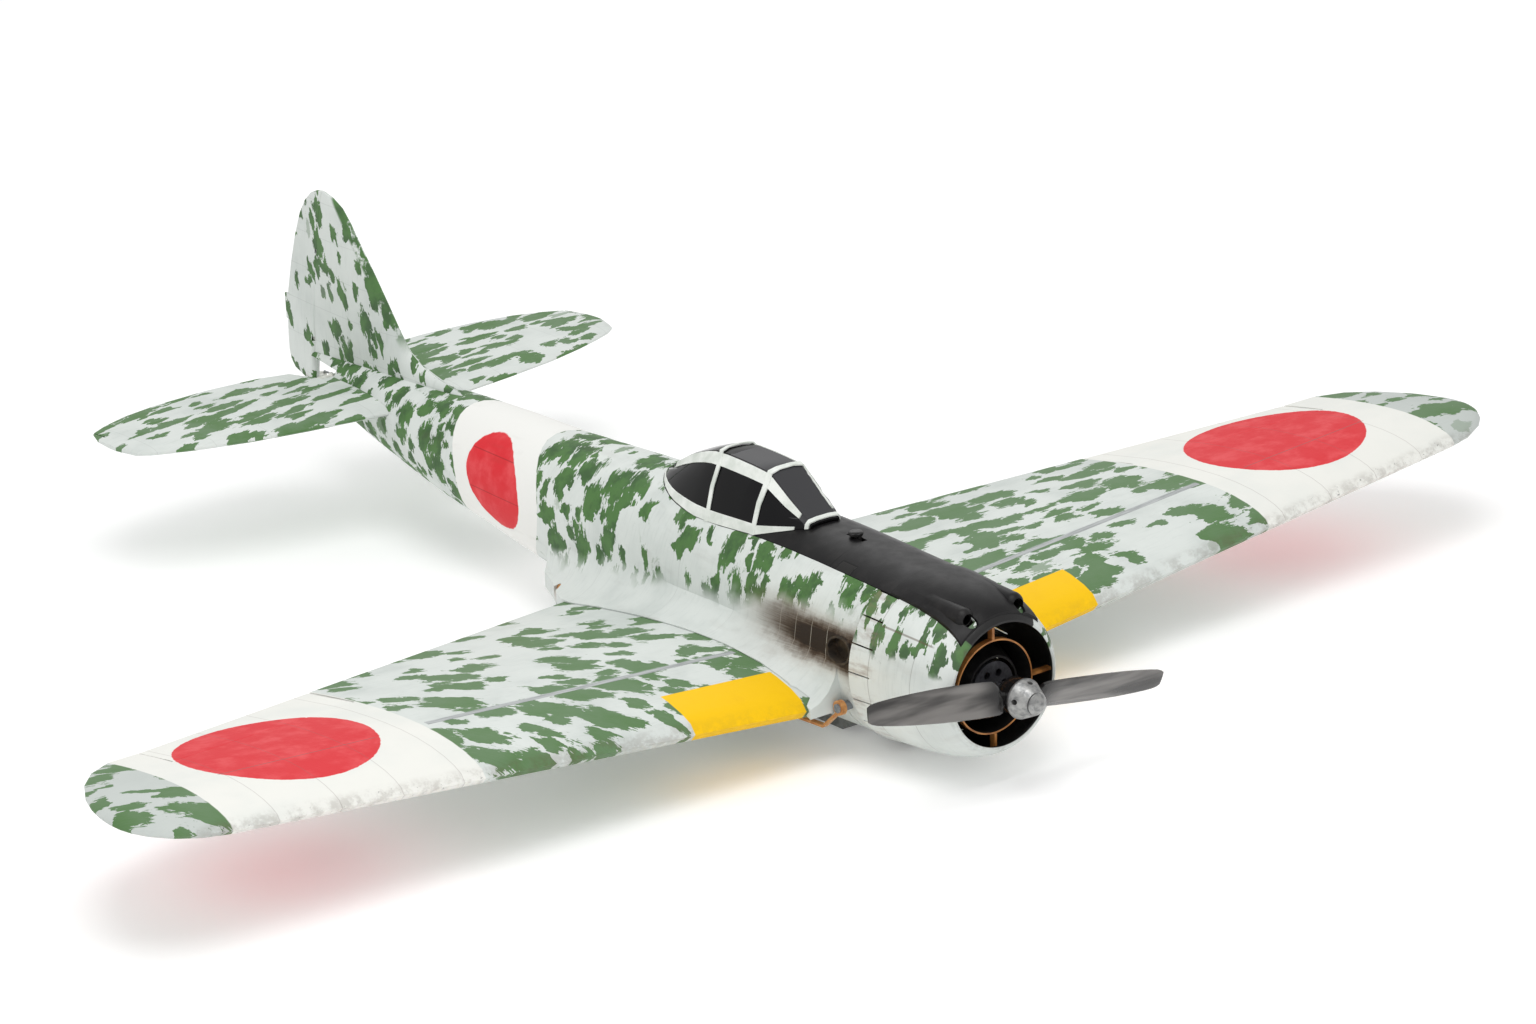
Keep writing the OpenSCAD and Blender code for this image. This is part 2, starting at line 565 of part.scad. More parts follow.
// Cowl flaps: leaves that start on the cowl's edge and spread a little. The gun
// cover takes their place over the top.
flap_n = 16;
flap_open = 33;
flap_pitch = (360 - 2 * flap_open) / flap_n;
flap_slit = 1;
module cowl_flaps() color(foam_c) placed() about_thrust(cowl_h) for (i = [0:flap_n - 1])
    rotate([0, 0, flap_open - 90 + i * flap_pitch + flap_slit / 2])
        rotate_extrude(angle = flap_pitch - flap_slit, $fn = 96) polygon([
            [cowl_r - 1.6, cowl_back + 0.02], [cowl_r - 0.1, cowl_back + 0.02],
            [cowl_r + 1.6, cowl_back + 20], [cowl_r + 0.4, cowl_back + 20]]);
motor_face = 84;
bolt_ring = 12.5;
module motor_box() color(ply_c) placed() about_thrust() {
    difference() {
        union() {
            translate([0, 0, body_front + 1]) cylinder(h = 4, r = 50);
            translate([-21, -21, motor_face]) cube([42, 42, body_front + 1 - motor_face]);
        }
        translate([-17, -17, motor_face + 4]) cube([34, 34, body_front - motor_face]);
        translate([0, 0, motor_face - 1]) cylinder(h = 6, r = 5);
        for (a = [45:90:315]) rotate([0, 0, a])
            translate([bolt_ring, 0, motor_face - 1]) cylinder(h = 6, r = 1.6);
        for (a = [0:90:270]) rotate([0, 0, a])
            translate([38, 0, body_front]) cylinder(h = 6, r = 5);
    }
}
shaft_r = 2.5;
module motor_stator() color("dimgray") placed() about_thrust() difference() {
    union() {
        translate([0, 0, motor_face - 3]) cylinder(h = 3, r = 15.5);
        translate([0, 0, 58]) cylinder(h = 24, r = 5);
        for (i = [0:11]) rotate([0, 0, i * 30]) {
            translate([4, -1.2, 60]) cube([9.4, 2.4, 16]);
            translate([12, -2.8, 60]) cube([1.8, 5.6, 16]);
        }
    }
    translate([0, 0, 50]) cylinder(h = 40, r = shaft_r + 0.05);
    for (a = [45:90:315]) rotate([0, 0, a])
        translate([bolt_ring, 0, motor_face - 4]) cylinder(h = 6, r = 1.6);
}
module motor_screws() color(steel_c) placed() about_thrust() for (a = [45:90:315])
    rotate([0, 0, a]) translate([bolt_ring, 0, 0]) {
        translate([0, 0, motor_face - 3 + 0.01]) cylinder(h = 12, r = 1.5);
        translate([0, 0, motor_face + 4.01]) cylinder(h = 2.4, r = 2.8);
    }
duct = [32.6, 33.8, 50.5, 82];
duct_len = duct[3] - duct[2];
module cooling_duct_ring() color("peru") placed() {
    about_thrust() difference() {
        translate([0, 0, duct[2]]) cylinder(h = duct_len, r = duct[1]);
        translate([0, 0, duct[2] - 1]) cylinder(h = 40, r = duct[0]);
    }
    // Four flat struts run from the ring to the cowl.
    for (i = [0:3]) intersection() {
        about_thrust() rotate([0, 0, 90 * i]) translate([duct[1] - 0.3, -1, duct[2]])
            cube([40, 2, duct_len]);
        about_thrust(cowl_h) cylinder(h = 200, r = cowl_out(duct[2]) - cowl_wall - 0.15);
    }
}
// Dark dished plate round the motor, standing for the engine's front case.
module crankcase_cone() color(black_c) placed() about_thrust() rotate_extrude($fn = 72)
    polygon([[20, 52], [21.5, 52], [25, 60], [32.5, 80], [32.5, 82], [30.2, 82], [23.4, 61]]);
port_x = 22;
port_h = 53.7;
module gun_tubes(r, from, to) for (side = [-1, 1]) translate([side * port_x, 0, port_h])
    rotate([-90, 0, 0]) translate([0, 0, from]) cylinder(h = to - from, r = r);
module cover_skin(grow, back) about_thrust(cowl_h) rotate_extrude($fn = 72) {
    line = concat(cowl_s, [back]);
    polygon(concat([[0, 44]], [for (s = line) [cowl_out(s) + grow, s]], [[0, back]]));
}
module gun_cover() color(black_c) placed() moulding() difference() {
    union() {
        intersection() {
            cover_skin(2, hatch_front);
            translate([-34, 0, 20]) cube([68, 200, 80]);
        }
        // A long blister over each gun, from the port back to the seam.
        for (side = [-1, 1]) hull() {
            translate([side * port_x, 56, port_h]) sphere(r = 7.6, $fn = 24);
            translate([side * port_x, 53.4, port_h]) rotate([-90, 0, 0])
                cylinder(h = 2, r = 6.6, $fn = 24);
            translate([side * (port_x + 2), hatch_front - 2, port_h + 1.5]) rotate([-90, 0, 0])
                cylinder(h = 2, r = 7.5, $fn = 24);
        }
    }
    cover_skin(0.16, 140);
    translate([0, 0.5, 0]) cover_skin(0, 140);
    gun_tubes(4.6, 40, 82);
}
module gun_ports() color(black_c) placed() difference() {
    gun_tubes(4.5, 52.4, 80);
    gun_tubes(3.7, 51, 77);
}
// Chin intake under the nose, open at the front.
module chin_scoop() color("darkslategray") placed() moulding() difference() {
    hull() {
        translate([0, 133, -53]) rotate([-90, 0, 0]) scale([1.75, 1, 1])
            cylinder(h = 2, r = 12, $fn = 32);
        translate([0, 176, -53]) sphere(r = 8, $fn = 24);
    }
    hull() {
        translate([0, 130, -53.2]) rotate([-90, 0, 0]) scale([1.75, 1, 1])
            cylinder(h = 2, r = 10.4, $fn = 32);
        translate([0, 165, -53]) sphere(r = 5, $fn = 24);
    }
    body_skin();
    both() wing_root_skin(0.2);
    skid_shape(0.2);
    translate([-100, 100, -50]) cube([200, 200, 100]);
}
// Oval exhaust outlet, its rim standing just proud of the body.
exhaust_at = [143.5, 16];
module exhaust_oval(grow, from, to) translate([from, exhaust_at[0], exhaust_at[1]])
    rotate([0, 90, 0]) linear_extrude(to - from) scale([0.76, 1]) circle(r = 13 + grow, $fn = 36);
module exhaust_stubs() color("#2a2420") placed() both() moulding() difference() {
    intersection() {
        exhaust_oval(0, 49.3, 80);
        loft([for (s = [126, 135, 144, 153, 162]) body_ring(s, -1.5)], flip = true);
    }
    exhaust_oval(-1.8, 53, 80);
}

// ---- equipment ----
tray_h = -4;
module equipment_tray() color(ply_c) placed() difference() {
    union() {
        translate([-30, 134, tray_h]) cube([60, 258, 3]);
        // Block under the elevator servo.
        translate([-5, 362, tray_h + 3]) cube([22, 30, tail_h - 6.1 - tray_h - 3]);
    }
    // The rudder rod passes beside it, and the rudder servo stands in a shallow seat.
    translate([6, 355, rudder_arm_h - 1]) cube([30, 50, 20]);
    translate([-8, 320, tray_h + 2.7]) cube([16, 30, 5]);
    for (s = [190, 258]) for (side = [-1, 1])
        translate([side * 24, s, tray_h - 1]) cylinder(h = 6, r = 2);
}
battery_box = [34, 104, 24];
battery_s = 183;
module battery() color("steelblue") placed()
    translate([-battery_box[0] / 2, battery_s, tray_h + 3.02]) cube(battery_box);
strap = [20, 1.4];
module battery_strap() color(black_c) placed() translate([0, 224, tray_h + 3]) difference() {
    translate([-battery_box[0] / 2 - strap[1], 0, 0])
        cube([battery_box[0] + 2 * strap[1], strap[0], battery_box[2] + strap[1]]);
    translate([-battery_box[0] / 2 - 0.1, -1, -1])
        cube([battery_box[0] + 0.2, strap[0] + 2, battery_box[2] + 1.1]);
}
module speed_controller() color("navy") placed()
    translate([-13, 137, tray_h + 3.02]) cube([26, 44, 10]);
module receiver() color("darkorange") placed()
    translate([-11, 290, tray_h + 3.02]) cube([22, 36, 13]);
module elevator_servo() color(servo_c) placed() elevator_link_frame() mirror([1, 0, 0])
    servo_body();
module rudder_servo() color(servo_c) placed() rudder_link_frame(rudder_servo_s) servo_body();
module aileron_servos() color(servo_c) placed() both() aileron_link_frame() servo_body();
module hinge_lugs() color(nylon_c) placed() {
    both() at_aileron() lug();
    both() at_elevator() lug();
    at_rudder() lug();
}
magnet_s = 399;
module hatch_former() color(ply_c) placed() {
    intersection() {
        translate([-60, magnet_s - 4, 22]) cube([120, 8, 26]);
        translate([0, 0, 8.5]) rotate([-90, 0, 0]) difference() {
            cylinder(h = 500, r = 44.4);
            // The two long rods pass through here.
            for (x = [-12, 10]) translate([x, -19.4, 0]) cylinder(h = 500, r = 3.2);
        }
    }
    for (x = [-8, 8]) translate([x, magnet_s, 48.02]) cylinder(h = 3, r = 3);
}

// ---- propeller ----
prop_s = 26.8;
prop_tilt = 9.4;
blade_t = [ // radius share, chord, pitch angle, thickness
    [0.07, 9, 30, 5.6], [0.11, 9.6, 30, 5.6], [0.135, 21.5, 30, 5.6], [0.2, 24.5, 30, 5.2],
    [0.35, 25, 29, 4.2], [0.5, 24.5, 27, 3.4], [0.7, 22, 22.5, 2.6], [0.88, 18, 18.5, 2],
    [0.97, 14.5, 16.5, 1.6], [1, 10.5, 16, 1.2]];
function blade_ring(u, n = 12) =
    let (c = curve(u, blade_t, 1), a = curve(u, blade_t, 2), t = curve(u, blade_t, 3))
    [for (k = [0:n - 1])
        let (b = (k + 0.5) * 360 / n, y = c / 2 * cos(b),
             z = t / 2 * sin(b) + c * 0.06 * (sin(b) > 0 ? 1 : 0.4))
        [u * prop_d / 2, -y * sin(a) - z * cos(a), y * cos(a) - z * sin(a)]];
blade_u = [0.07, 0.11, 0.12, 0.135, 0.16, 0.2, 0.3, 0.42, 0.55, 0.7, 0.82, 0.9, 0.95, 0.98, 1];
module blade() loft([for (u = blade_u) blade_ring(u)], flip = true);
module propeller_blades() color("dimgray") placed() translate([0, prop_s, 0])
rotate([0, prop_tilt, 0]) {
    blade();
    rotate([0, 180, 0]) blade();
    rotate([-90, 0, 0]) difference() {
        translate([0, 0, -5]) cylinder(h = 10, r = 13.2);
        translate([0, 0, -6]) cylinder(h = 12, r = 4.05);
    }
}
// Spinner nut: a drilled cone, held by a screw with a pointed head.
module spinner_nut() color(steel_c) placed() rotate([-90, 0, 0]) difference() {
    rotate_extrude($fn = 72) polygon([[0, 0], [0.5, 0.2], [7.6, 5.7], [7.8, 6.6], [7.3, 6.7],
        [7.3, 7.2], [8.4, 7.3], [14.2, 19.4], [14.4, 20.4], [14, 21.7], [0, 21.7]]);
    translate([0, 0, 17]) cylinder(h = 12, r = 4.02);
    for (a = [0:90:270]) rotate([0, 0, a + prop_tilt]) translate([5.5, 0, 15.8])
        rotate([0, 90, 0]) cylinder(h = 12, r = 1.9);
}
module prop_shaft() color(steel_c) placed() about_thrust() {
    translate([0, 0, 17]) cylinder(h = 15, r = 4);
    translate([0, 0, 31.9]) cylinder(h = 6, r = 9);
    translate([0, 0, 37.8]) cylinder(h = 8.2, r = 5);
    translate([0, 0, 45.9]) cylinder(h = 34, r = shaft_r);
}
module motor_bell() color("darkgray") placed() about_thrust() difference() {
    translate([0, 0, 52]) cylinder(h = 27, r = bell_r);
    translate([0, 0, 56]) cylinder(h = 30, r = bell_r - 2.4);
    translate([0, 0, 50]) cylinder(h = 30, r = shaft_r + 0.01);
    for (i = [0:5]) rotate([0, 0, 60 * i]) translate([10, 0, 50]) cylinder(h = 8, r = 2.8);
}

// ---- moving surfaces and their fittings ----
module aileron_half() moulding() difference() {
    aileron_foam();
    at_aileron() swing_slot(22);
    at_aileron() pin(0.04);
    along(hinge_in, hinge_out, aileron_site) translate([-0.12, -3, -11])
        cube([arm_t + 0.24, 15, 9]);
}
module aileron_left() color(foam_c) placed() aileron_half();
module aileron_right() color(foam_c) placed() mirror([1, 0, 0]) aileron_half();
module aileron_fittings() {
    at_aileron() pin();
    along(hinge_in, hinge_out, aileron_site) difference() {
        horn(arm_len, 2.6, 10);
        translate([-5, -5, -2.5]) cube([10, 30, 10]);
    }
}
module aileron_fittings_left() color(nylon_c) placed() aileron_fittings();
module aileron_fittings_right() color(nylon_c) placed() mirror([1, 0, 0]) aileron_fittings();
joiner_back = 8;
module elevator_joiner(grow = 0) translate([0, elevator_s + joiner_back, tail_h]) rotate([0, 90, 0])
    cylinder(h = 84 + 2 * grow, r = 1.5 + grow, center = true);
module elevator_half() moulding() difference() {
    elevator_foam();
    at_elevator() lug_slot();
    at_elevator() pin(0.04);
    elevator_joiner(0.04);
}
module elevator_left() color(foam_c) placed() elevator_half();
module elevator_right() color(foam_c) placed() mirror([1, 0, 0]) elevator_half();
module elevator_fittings() color(nylon_c) placed() {
    both() at_elevator() pin();
    elevator_joiner();
    translate([elevator_rod_x - arm_t, elevator_s, tail_h]) rotate([0, 90, 0]) difference() {
        linear_extrude(arm_t) hull() {
            translate([tail_arm, 0]) circle(r = 2.2);
            translate([0, joiner_back]) circle(r = 3);
        }
        translate([tail_arm, 0, -1]) cylinder(h = 4, r = hole_r + 0.3);
    }
}
module rudder() color(foam_c) placed() moulding() difference() {
    union() {
        rudder_foam();
        trim_tab();
    }
    at_rudder() swing_slot(27);
    at_rudder() pin(0.04);
    rudder_link_frame(rudder_s(rudder_arm_h)) translate([-0.1, -4, -6]) cube([arm_t + 0.2, 12, 12]);
}
module rudder_fittings() color(nylon_c) placed() {
    at_rudder() pin();
    rudder_link_frame(rudder_s(rudder_arm_h)) rotate([0, 90, 0]) difference() {
        linear_extrude(arm_t) hull() {
            translate([tail_arm, 0]) circle(r = 2.2);
            translate([-3, -3]) square([6, 10]);
        }
        translate([tail_arm, 0, -1]) cylinder(h = 4, r = hole_r + 0.3);
    }
}
module aileron_arm() aileron_link_frame() servo_arm(arm_len);
module aileron_rod() aileron_link_frame() pushrod(arm_len, aileron_run);
module elevator_servo_arm() color(nylon_c) placed() elevator_link_frame() mirror([1, 0, 0])
    servo_arm(tail_arm);
module rudder_servo_arm() color(nylon_c) placed() rudder_link_frame(rudder_servo_s)
    servo_arm(tail_arm);
module aileron_servo_arm_left() color(nylon_c) placed() aileron_arm();
module aileron_servo_arm_right() color(nylon_c) placed() mirror([1, 0, 0]) aileron_arm();
module elevator_pushrod() color(steel_c) placed() elevator_link_frame() mirror([1, 0, 0])
    pushrod(tail_arm, elevator_run);
module rudder_pushrod() color(steel_c) placed() rudder_link_frame(rudder_servo_s)
    pushrod(tail_arm, rudder_run, rudder_lean);
module aileron_pushrod_left() color(steel_c) placed() aileron_rod();
module aileron_pushrod_right() color(steel_c) placed() mirror([1, 0, 0]) aileron_rod();

// ---- hatch ----
deck_wall = 2.5;
deck_rings = steps(108, 420, 18);
latch_s = 196;
module hatch_deck() color(black_c) placed() moulding() difference() {
    intersection() {
        loft([for (s = deck_rings) body_ring(s)], flip = true);
        hatch_prism(-hatch_gap, 52, 120);
    }
    difference() {
        loft([for (s = deck_rings) body_ring(s, deck_wall)], flip = true);
        // Bosses for the rear magnets stay solid.
        translate([-13, magnet_s - 5, 51.4]) cube([26, 8, 30]);
    }
    translate([-2.2, latch_s - 10, 40]) cube([4.4, 18, 60]);
}
// Canopy: station, base half width, roof half width, roof height.
canopy_t = [
    [228.6, 12, 12, 71.8], [250, 25.5, 13.2, 85.5], [268, 33.6, 14.3, 98],
    [273, 33.8, 14.5, 101], [300, 35, 14.5, 102.6], [320, 35.4, 14.2, 103],
    [335, 34.8, 13.5, 101.8], [352, 32.4, 12, 97], [370, 28.4, 9.5, 89.5],
    [386, 21.6, 6.5, 81], [397, 13.8, 4, 75], [404, 6, 2.2, 70.5]];
canopy_s = [230, 240, 252, 262, 268, 273, 290, 308, 320, 335, 344, 354, 364, 374, 384, 392, 399,
    403];
// Height of the body's surface at a station and a distance from the middle.
function body_h(s, x) =
    let (w = curve(s, body_t, 1), top = curve(s, body_t, 2), bot = curve(s, body_t, 3), p = 0.93)
    (top + bot) / 2 + (top - bot) / 2 * (1 - (abs(x) / w)^(2 / p))^(p / 2);
// Half of the canopy's arch, from its base up to the roof, moved out by grow.
function canopy_side(s, grow) =
    let (b = curve(s, canopy_t, 1) + grow, bz = body_h(s, b) + 0.3,
         r = curve(s, canopy_t, 2) + grow, rz = max(curve(s, canopy_t, 3) + grow, bz + 0.8),
         tuck = min(3, (b - r) / 3))
    [[b, bz], [(b + r) / 2 + tuck * 0.6, (bz + rz) / 2 + tuck * 0.2],
     [r + tuck * 0.6, rz - tuck * 1.6], [r * 0.92, rz - 0.3], [r * 0.4, rz + 0.4]];
function canopy_arch(s, grow) = let (side = canopy_side(s, grow))
    concat(side, [for (i = [4:-1:0]) [-side[i][0], side[i][1]]]);
// A point of the arch at place i, from 0 at the port base to 9 at the starboard one.
function arch_point(s, i, grow, lean = 0) =
    let (q = s + lean * (1 - abs(i - 4.5) / 4.5), arch = canopy_arch(q, grow),
         k = min(floor(i), 8), p = arch[k] + (i - k) * (arch[k + 1] - arch[k]))
    [p[0], q, p[1]];
// Thin strip of the canopy's surface between two offsets.
module canopy_strip(stations, from, to, inner, outer, lean = 0, n = 9) {
    places = steps(from, to, n);
    loft([for (s = stations) concat([for (i = places) arch_point(s, i, outer, lean)],
        [for (k = [n:-1:0]) arch_point(s, places[k], inner, lean)])]);
}
module canopy_glass() color("#101418") placed() canopy_strip(canopy_s, 0, 9, -1.5, 0);
// White frames: hoops, roof rails, windscreen posts and the sill.
module canopy_frame() color("white") placed() moulding() {
    canopy_strip([231, 233.4], 0, 9, 0.3, 1.1);
    canopy_strip([267.5, 271.5], 0, 9, 0.5, 1.3, 4.5);
    canopy_strip([318, 321.8], 0, 9, 0.5, 1.3, 13);
    rail_s = [for (s = canopy_s) if (s > 233 && s < 396) s];
    sill_s = [for (s = canopy_s) if (s > 233) s];
    for (side = [0, 1]) {
        mirror([side, 0, 0]) canopy_strip(rail_s, 1.75, 2.75, 0.25, 0.9, n = 3);
        mirror([side, 0, 0]) canopy_strip(sill_s, 0, 0.3, 0.25, 1, n = 1);
    }
}
module hatch_latch() color(black_c) placed() {
    translate([-1.9, latch_s - 4, 62]) cube([3.8, 8, 9]);
    translate([0, latch_s, 70.9]) cylinder(h = 3.4, r = 4);
    translate([-4, latch_s - 8, 60]) cube([8, 16, 2.1]);
    translate([0, latch_s - 7, 61]) rotate([90, 0, 0]) cylinder(h = 50, r = 1.5);
}

fuselage_left_half();
fuselage_right_half();
vertical_fin();
horizontal_stabilizer();
wing_left();
wing_right();
wing_spars();
spar_joiner();
belly_pan();
belly_skid();
wing_dowels();
wing_bands();
motor_box();
motor_stator();
motor_screws();
cowl_shell();
cowl_flaps();
cooling_duct_ring();
crankcase_cone();
gun_cover();
gun_ports();
chin_scoop();
exhaust_stubs();
equipment_tray();
battery();
battery_strap();
speed_controller();
receiver();
elevator_servo();
rudder_servo();
aileron_servos();
hinge_lugs();
hatch_former();
propeller_blades();
spinner_nut();
prop_shaft();
motor_bell();
aileron_left();
aileron_right();
aileron_fittings_left();
aileron_fittings_right();
elevator_left();
elevator_right();
elevator_fittings();
rudder();
rudder_fittings();
elevator_servo_arm();
rudder_servo_arm();
aileron_servo_arm_left();
aileron_servo_arm_right();
elevator_pushrod();
rudder_pushrod();
aileron_pushrod_left();
aileron_pushrod_right();
hatch_deck();
canopy_glass();
canopy_frame();
hatch_latch();
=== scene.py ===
import math

import bmesh
import bpy
from mathutils import Matrix, Vector


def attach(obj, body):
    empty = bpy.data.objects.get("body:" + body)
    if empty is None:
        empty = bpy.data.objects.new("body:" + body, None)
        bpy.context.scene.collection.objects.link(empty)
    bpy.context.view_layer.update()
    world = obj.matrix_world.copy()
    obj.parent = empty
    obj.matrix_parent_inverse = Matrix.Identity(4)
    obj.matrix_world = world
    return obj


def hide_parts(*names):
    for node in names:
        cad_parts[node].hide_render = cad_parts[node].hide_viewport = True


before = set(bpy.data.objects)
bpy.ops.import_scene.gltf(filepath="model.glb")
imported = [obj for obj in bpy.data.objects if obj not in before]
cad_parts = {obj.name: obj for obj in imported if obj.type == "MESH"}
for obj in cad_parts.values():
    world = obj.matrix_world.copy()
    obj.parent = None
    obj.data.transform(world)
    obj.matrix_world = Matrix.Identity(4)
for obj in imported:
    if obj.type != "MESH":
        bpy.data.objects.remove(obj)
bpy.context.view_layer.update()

# Metres in the row frame: X out to port, -Y to the nose, Z up from the floor.
# Stations s run aft from the spinner tip, heights h run up from the thrust line.
LENGTH = 0.9118
THRUST = 0.066
# Landmarks, in metres. A disc is its two centre coordinates and its radius.
WING_DISC = (0.4465, 0.2508, 0.0684)
WING_BAND = (0.349, 0.541)
YELLOW_SPAN = (0.0862, 0.180)
BODY_DISC = (0.573, 0.024, 0.032)
BODY_AXIS = 0.0085
COWL_RISE = 0.004
LATCH_S = 0.196
# The body disc's slope against the vertical, and the ratio that stretches it along the body.
BODY_DISC_LEAN = 0.35
BODY_DISC_STRETCH = 0.93


def srgb(r, g, b):
    """Linear colour of a display colour given on a scale of 0 to 255."""
    def lin(c):
        c /= 255
        return c / 12.92 if c <= 0.04045 else ((c + 0.055) / 1.055) ** 2.4
    return (lin(r), lin(g), lin(b), 1.0)


# ---------------------------------------------------------------- shader graphs
class Val:
    """A shader value that builds Math nodes from Python arithmetic."""

    def __init__(self, graph, out):
        self.graph = graph
        self.out = out

    def op(self, name, *others):
        return self.graph.math(name, self, *others)

    def __add__(self, o):
        return self.op("ADD", o)

    def __sub__(self, o):
        return self.op("SUBTRACT", o)

    def __mul__(self, o):
        return self.op("MULTIPLY", o)

    def __truediv__(self, o):
        return self.op("DIVIDE", o)

    def __rsub__(self, o):
        return self.graph.math("SUBTRACT", o, self)

    def __radd__(self, o):
        return self.op("ADD", o)

    def abs(self):
        return self.op("ABSOLUTE")

    def max(self, o):
        return self.op("MAXIMUM", o)

    def clamp(self):
        return self.graph.math("ADD", self, 0.0, clamp=True)


class Graph:
    def __init__(self, name):
        self.mat = bpy.data.materials.new(name)
        self.mat.use_nodes = True
        self.tree = self.mat.node_tree
        self.bsdf = self.tree.nodes["Principled BSDF"]
        coords = self.node("ShaderNodeTexCoord").outputs["Object"]
        split = self.node("ShaderNodeSeparateXYZ", Vector=coords)
        self.x, self.y, self.z = (Val(self, o) for o in split.outputs)
        self.point = coords
        self.s = self.y + LENGTH / 2
        self.h = self.z - THRUST
        self.ax = self.x.abs()

    def link(self, value, socket):
        if isinstance(value, Val):
            value = value.out
        if isinstance(value, bpy.types.NodeSocket):
            self.tree.links.new(value, socket)
        else:
            socket.default_value = value

    def node(self, kind, settings=None, **inputs):
        n = self.tree.nodes.new(kind)
        for key, value in (settings or {}).items():
            setattr(n, key, value)
        for key, value in inputs.items():
            self.link(value, n.inputs[key.replace("_", " ")])
        return n

    def math(self, name, *args, clamp=False):
        n = self.node("ShaderNodeMath", {"operation": name, "use_clamp": clamp})
        for i, a in enumerate(args):
            self.link(a, n.inputs[i])
        return Val(self, n.outputs[0])

    def ramp(self, value, low, high):
        """0 below low, 1 above high, smooth between; low may be the larger."""
        n = self.node("ShaderNodeMapRange", {"interpolation_type": "SMOOTHSTEP"})
        for key, v in (("Value", value), ("From Min", low), ("From Max", high)):
            self.link(v, n.inputs[key])
        return Val(self, n.outputs["Result"])

    def inside(self, value, low, high, soft=0.0006):
        return self.ramp(value, low - soft, low + soft) * self.ramp(value, high + soft, high - soft)

    def vec(self, x, y, z=0.0):
        n = self.node("ShaderNodeCombineXYZ")
        for i, v in enumerate((x, y, z)):
            self.link(v, n.inputs[i])
        return n.outputs[0]

    def noise(self, scale, detail=3.0, rough=0.5, distort=0.0, at=None, colour=False):
        n = self.node("ShaderNodeTexNoise", Vector=at or self.point, Scale=scale, Detail=detail,
                      Roughness=rough, Distortion=distort)
        return n.outputs["Color"] if colour else Val(self, n.outputs[0])

    def mix(self, share, a, b):
        n = self.node("ShaderNodeMix", {"data_type": "RGBA"})
        self.link(share, n.inputs[0])
        self.link(a, n.inputs[6])
        self.link(b, n.inputs[7])
        return n.outputs[2]

    def bump(self, height, distance, strength=1.0, after=None):
        n = self.node("ShaderNodeBump", Height=height, Distance=distance, Strength=strength)
        if after is not None:
            self.link(after, n.inputs["Normal"])
        return n.outputs[0]

    def finish(self, colour, rough, normal=None, **plain):
        self.link(colour, self.bsdf.inputs["Base Color"])
        self.link(rough, self.bsdf.inputs["Roughness"])
        if normal is not None:
            self.link(normal, self.bsdf.inputs["Normal"])
        for key, value in plain.items():
            self.bsdf.inputs[key.replace("_", " ")].default_value = value
        return self.mat


def brush_strokes(g, u, v, long, wide, seed, cover, ragged=1.0):
    """Leaf-like brushed blotches along u, with dry-brush ends, as a mask."""
    base = g.vec(u * (1 / long), v * (1 / wide), seed)
    wobble = g.noise(1.1, 4.0, 0.6, at=base, colour=True)
    shift = g.node("ShaderNodeVectorMath", {"operation": "MULTIPLY_ADD"})
    g.link(wobble, shift.inputs[0])
    shift.inputs[1].default_value = (1.5, 1.5, 0.0)
    g.link(base, shift.inputs[2])
    cells = g.node("ShaderNodeTexVoronoi", {"voronoi_dimensions": "2D"}, Vector=shift.outputs[0],
                   Scale=1.0, Randomness=1.0)
    far = Val(g, cells.outputs["Distance"])
    chance = g.node("ShaderNodeSeparateColor", Color=cells.outputs["Color"])
    gate = g.ramp(Val(g, chance.outputs[0]), cover, cover - 0.02)
    bristles = g.noise(1.0, 2.0, 0.6, at=g.vec(u * 60, v * 900, seed + 3))
    patches = g.noise(1.0, 4.0, 0.65, at=g.vec(u * 160, v * 330, seed + 7))
    shape = far + (patches - 0.5) * (0.34 * ragged) + (bristles - 0.5) * (0.3 * ragged)
    reach = Val(g, chance.outputs[1]) * 0.2 + 0.36
    return g.ramp(shape - reach, 0.03, 0.0) * gate


def facing_axis(g, rise):
    """1 on faces that look in towards the thrust line, raised by rise."""
    normal = g.node("ShaderNodeNewGeometry").outputs["Normal"]
    outward = g.node("ShaderNodeVectorMath", {"operation": "NORMALIZE"})
    g.link(g.vec(g.x, 0.0, g.h - rise), outward.inputs[0])
    dot = g.node("ShaderNodeVectorMath", {"operation": "DOT_PRODUCT"})
    g.link(normal, dot.inputs[0])
    g.link(outward.outputs[0], dot.inputs[1])
    return g.ramp(Val(g, dot.outputs["Value"]), -0.15, -0.3)


def foam_bump(g, after=None):
    beads = g.node("ShaderNodeTexVoronoi", {"feature": "SMOOTH_F1"}, Vector=g.point, Scale=330.0)
    fine = g.noise(900.0, 2.0, 0.6)
    first = g.bump(Val(g, beads.outputs["Distance"]), 0.0002, 0.35, after)
    return g.bump(fine, 0.00012, 0.5, first)


SILVER = srgb(214, 219, 215)
SILVER_DULL = srgb(178, 186, 182)
CREAM = srgb(232, 232, 226)
GREEN = srgb(64, 110, 42)
GREEN_DEEP = srgb(38, 80, 24)
GREEN_MUTED = srgb(86, 120, 76)
RED = srgb(214, 44, 52)
RED_PALE = srgb(226, 84, 88)
YELLOW = srgb(246, 196, 4)
DIRT = srgb(92, 74, 56)
SOOT = srgb(44, 34, 26)
BLACK = srgb(26, 25, 26)


